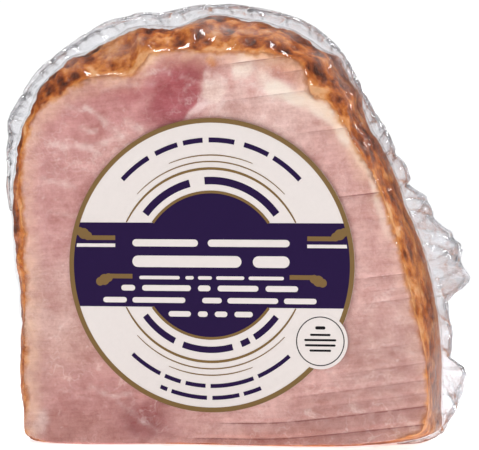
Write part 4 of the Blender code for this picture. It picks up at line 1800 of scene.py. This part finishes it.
@dataclass
class Studio:
    """The camera where the picture was taken from, soft lights and the pale table."""

    own: Own
    target: tuple[float, float, float] = (4.08, 0.0, 77.1)
    distance: float = 1200.0
    yaw: float = math.radians(14)
    pitch: float = math.radians(1)
    lens: float = 261.9
    sensor: float = 36.0
    lit_point: tuple[float, float, float] = (0.0, 0.0, 0.07)
    lamps: tuple = (
        Lamp("key_light", Task.LIGHT, (-420, -560, 560), 420, 1.53, "#FFF9F4"),
        Lamp("fill_light", Task.LIGHT, (620, -420, 260), 500, 0.6, "#F6FAFF"),
        Lamp("top_light", Task.LIGHT, (60, 160, 760), 520, 4.6),
        Lamp("rim_light", Task.LIGHT, (560, 420, 360), 260, 1.6),
        Lamp("left_glint", Task.GLINT, (-320, -620, 700), 110, 1.5),
        Lamp("right_glint", Task.GLINT, (520, -520, 480), 90, 1.0),
        Lamp("high_glint", Task.GLINT, (120, -360, 900), 150, 2.4),
        Lamp("back_glint", Task.GLINT, (420, 560, 420), 80, 0.6),
    )
    sky: tuple = ((0.0, "#B9B9BC"), (0.45, "#8E8E92"), (1.0, "#FFFFFF"))
    sky_strength: float = 0.35
    mirrored_sky: float = 0.14
    seen_white: float = 1.05
    table: str = "#F7F7F8"
    table_glow: tuple[float, float, float] = (0.86, 0.2, 0.8)
    table_half: float = 6.0

    def camera(self) -> None:
        """Sets up the camera, which looks a little to the left and down on the ham."""
        aim = Vector(self.own.place(np.array(self.target)))
        level = math.cos(self.pitch)
        away = Vector((math.sin(self.yaw) * level, -math.cos(self.yaw) * level, math.sin(self.pitch)))
        data = bpy.data.cameras.new("camera")
        data.lens = self.lens
        data.sensor_width = self.sensor
        camera = put("camera", data)
        camera.location = aim + away * self.distance * MM
        camera.rotation_euler = (-away).to_track_quat("-Z", "Y").to_euler()
        bpy.context.scene.camera = camera

    def light(self) -> None:
        """Sets up the lamps, each turned to the ham."""
        for lamp in self.lamps:
            data = bpy.data.lights.new(lamp.name, "AREA")
            data.size = lamp.side * MM
            data.energy = lamp.power
            data.color = linear(lamp.colour)[:3]
            hung = put(lamp.name, data)
            hung.location = Vector(self.own.place(np.array(lamp.place)))
            hung.rotation_euler = (hung.location - Vector(self.lit_point)).to_track_quat("Z", "Y").to_euler()
            hung.visible_glossy = lamp.task is Task.GLINT
            hung.visible_diffuse = lamp.task is Task.LIGHT

    def surroundings(self) -> None:
        """Sets up the sky: it lights the ham softly, is dim where mirrored, and is white behind the ham."""
        world = bpy.data.worlds.new("studio")
        world.use_nodes = True
        bpy.context.scene.world = world
        tree = world.node_tree
        tree.nodes.clear()
        place = add_node(tree, "TexCoord", output="Generated")
        up = add_node(tree, "SeparateXYZ", None, (place,), 2)
        height = add_node(tree, "MapRange", None, (up, -1.0, 1.0))
        sky = add_node(tree, "ValToRGB", {"stops": self.sky}, (height,))
        soft = add_node(tree, "Background", None, (sky, self.sky_strength))
        dim = add_node(tree, "Background", None, (sky, self.mirrored_sky))
        white = add_node(tree, "Background", None, (linear("#FFFFFF"), self.seen_white))
        glossy, seen = (add_node(tree, "LightPath", output=f"Is {ray} Ray") for ray in ("Glossy", "Camera"))
        mirrored = add_node(tree, "MixShader", None, (glossy, soft, dim))
        mixed = add_node(tree, "MixShader", None, (seen, mirrored, white))
        add_node(tree, "OutputWorld", None, {"Surface": mixed})

    def painted_table(self) -> bpy.types.Material:
        """Builds the table's material: matt pale paint, which glows so that it shows as white as the sky.

        Returns:
            The material.
        """
        material, tree, place = start_material("pale_painted_table")
        grain = add_node(tree, "TexNoise", None, {"Vector": place, "Scale": 60.0})
        rough = add_node(tree, "MapRange", None, {0: grain, 3: 0.85, 4: 0.95})
        seen, mirrored, bounced = self.table_glow
        rays = [add_node(tree, "LightPath", output=f"Is {ray} Ray") for ray in ("Glossy", "Diffuse")]
        glow = weighted_sum(tree, rays, (mirrored - seen, bounced - seen), seen)
        shader = add_node(tree, "BsdfPrincipled", None, {
            "Base Color": linear(self.table), "Roughness": rough,
            "Emission Color": linear(self.table), "Emission Strength": glow,
        })
        add_node(tree, "OutputMaterial", None, {"Surface": shader})
        return material

    def floor(self) -> bpy.types.Object:
        """Makes the pale table.

        Returns:
            The table.
        """
        mesh = bpy.data.meshes.new("table")
        half = self.table_half
        corners = [(-half, -half, 0), (half, -half, 0), (half, half, 0), (-half, half, 0)]
        mesh.from_pydata(corners, [], [(0, 1, 2, 3)])
        mesh.materials.append(self.painted_table())
        table = put("table", mesh)
        return table


def main() -> None:
    """Builds the ham, its film and its label, and the studio round them."""
    logging.basicConfig(level=logging.INFO, format="%(name)s: %(message)s")
    bpy.context.scene.view_settings.view_transform = "Standard"
    # Without a seed, noise_vector starts from the clock and each run looks different.
    noise.seed_set(NOISE_SEED)
    own, form = Own(), HamForm()
    studio = Studio(own)
    studio.camera()
    studio.light()
    studio.surroundings()
    report(studio.floor())
    ham = Ham(form, Slices(), own).build()
    skin = FilmSkin(form, own).build()
    margin = FilmMargin(form, own).build()
    label = Label(own).build()
    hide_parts("film_bag")
    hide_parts("label")
    for piece in [ham, skin, *margin, *label]:
        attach(piece, BODY)
        report(piece)


if __name__ == "__main__":
    main()
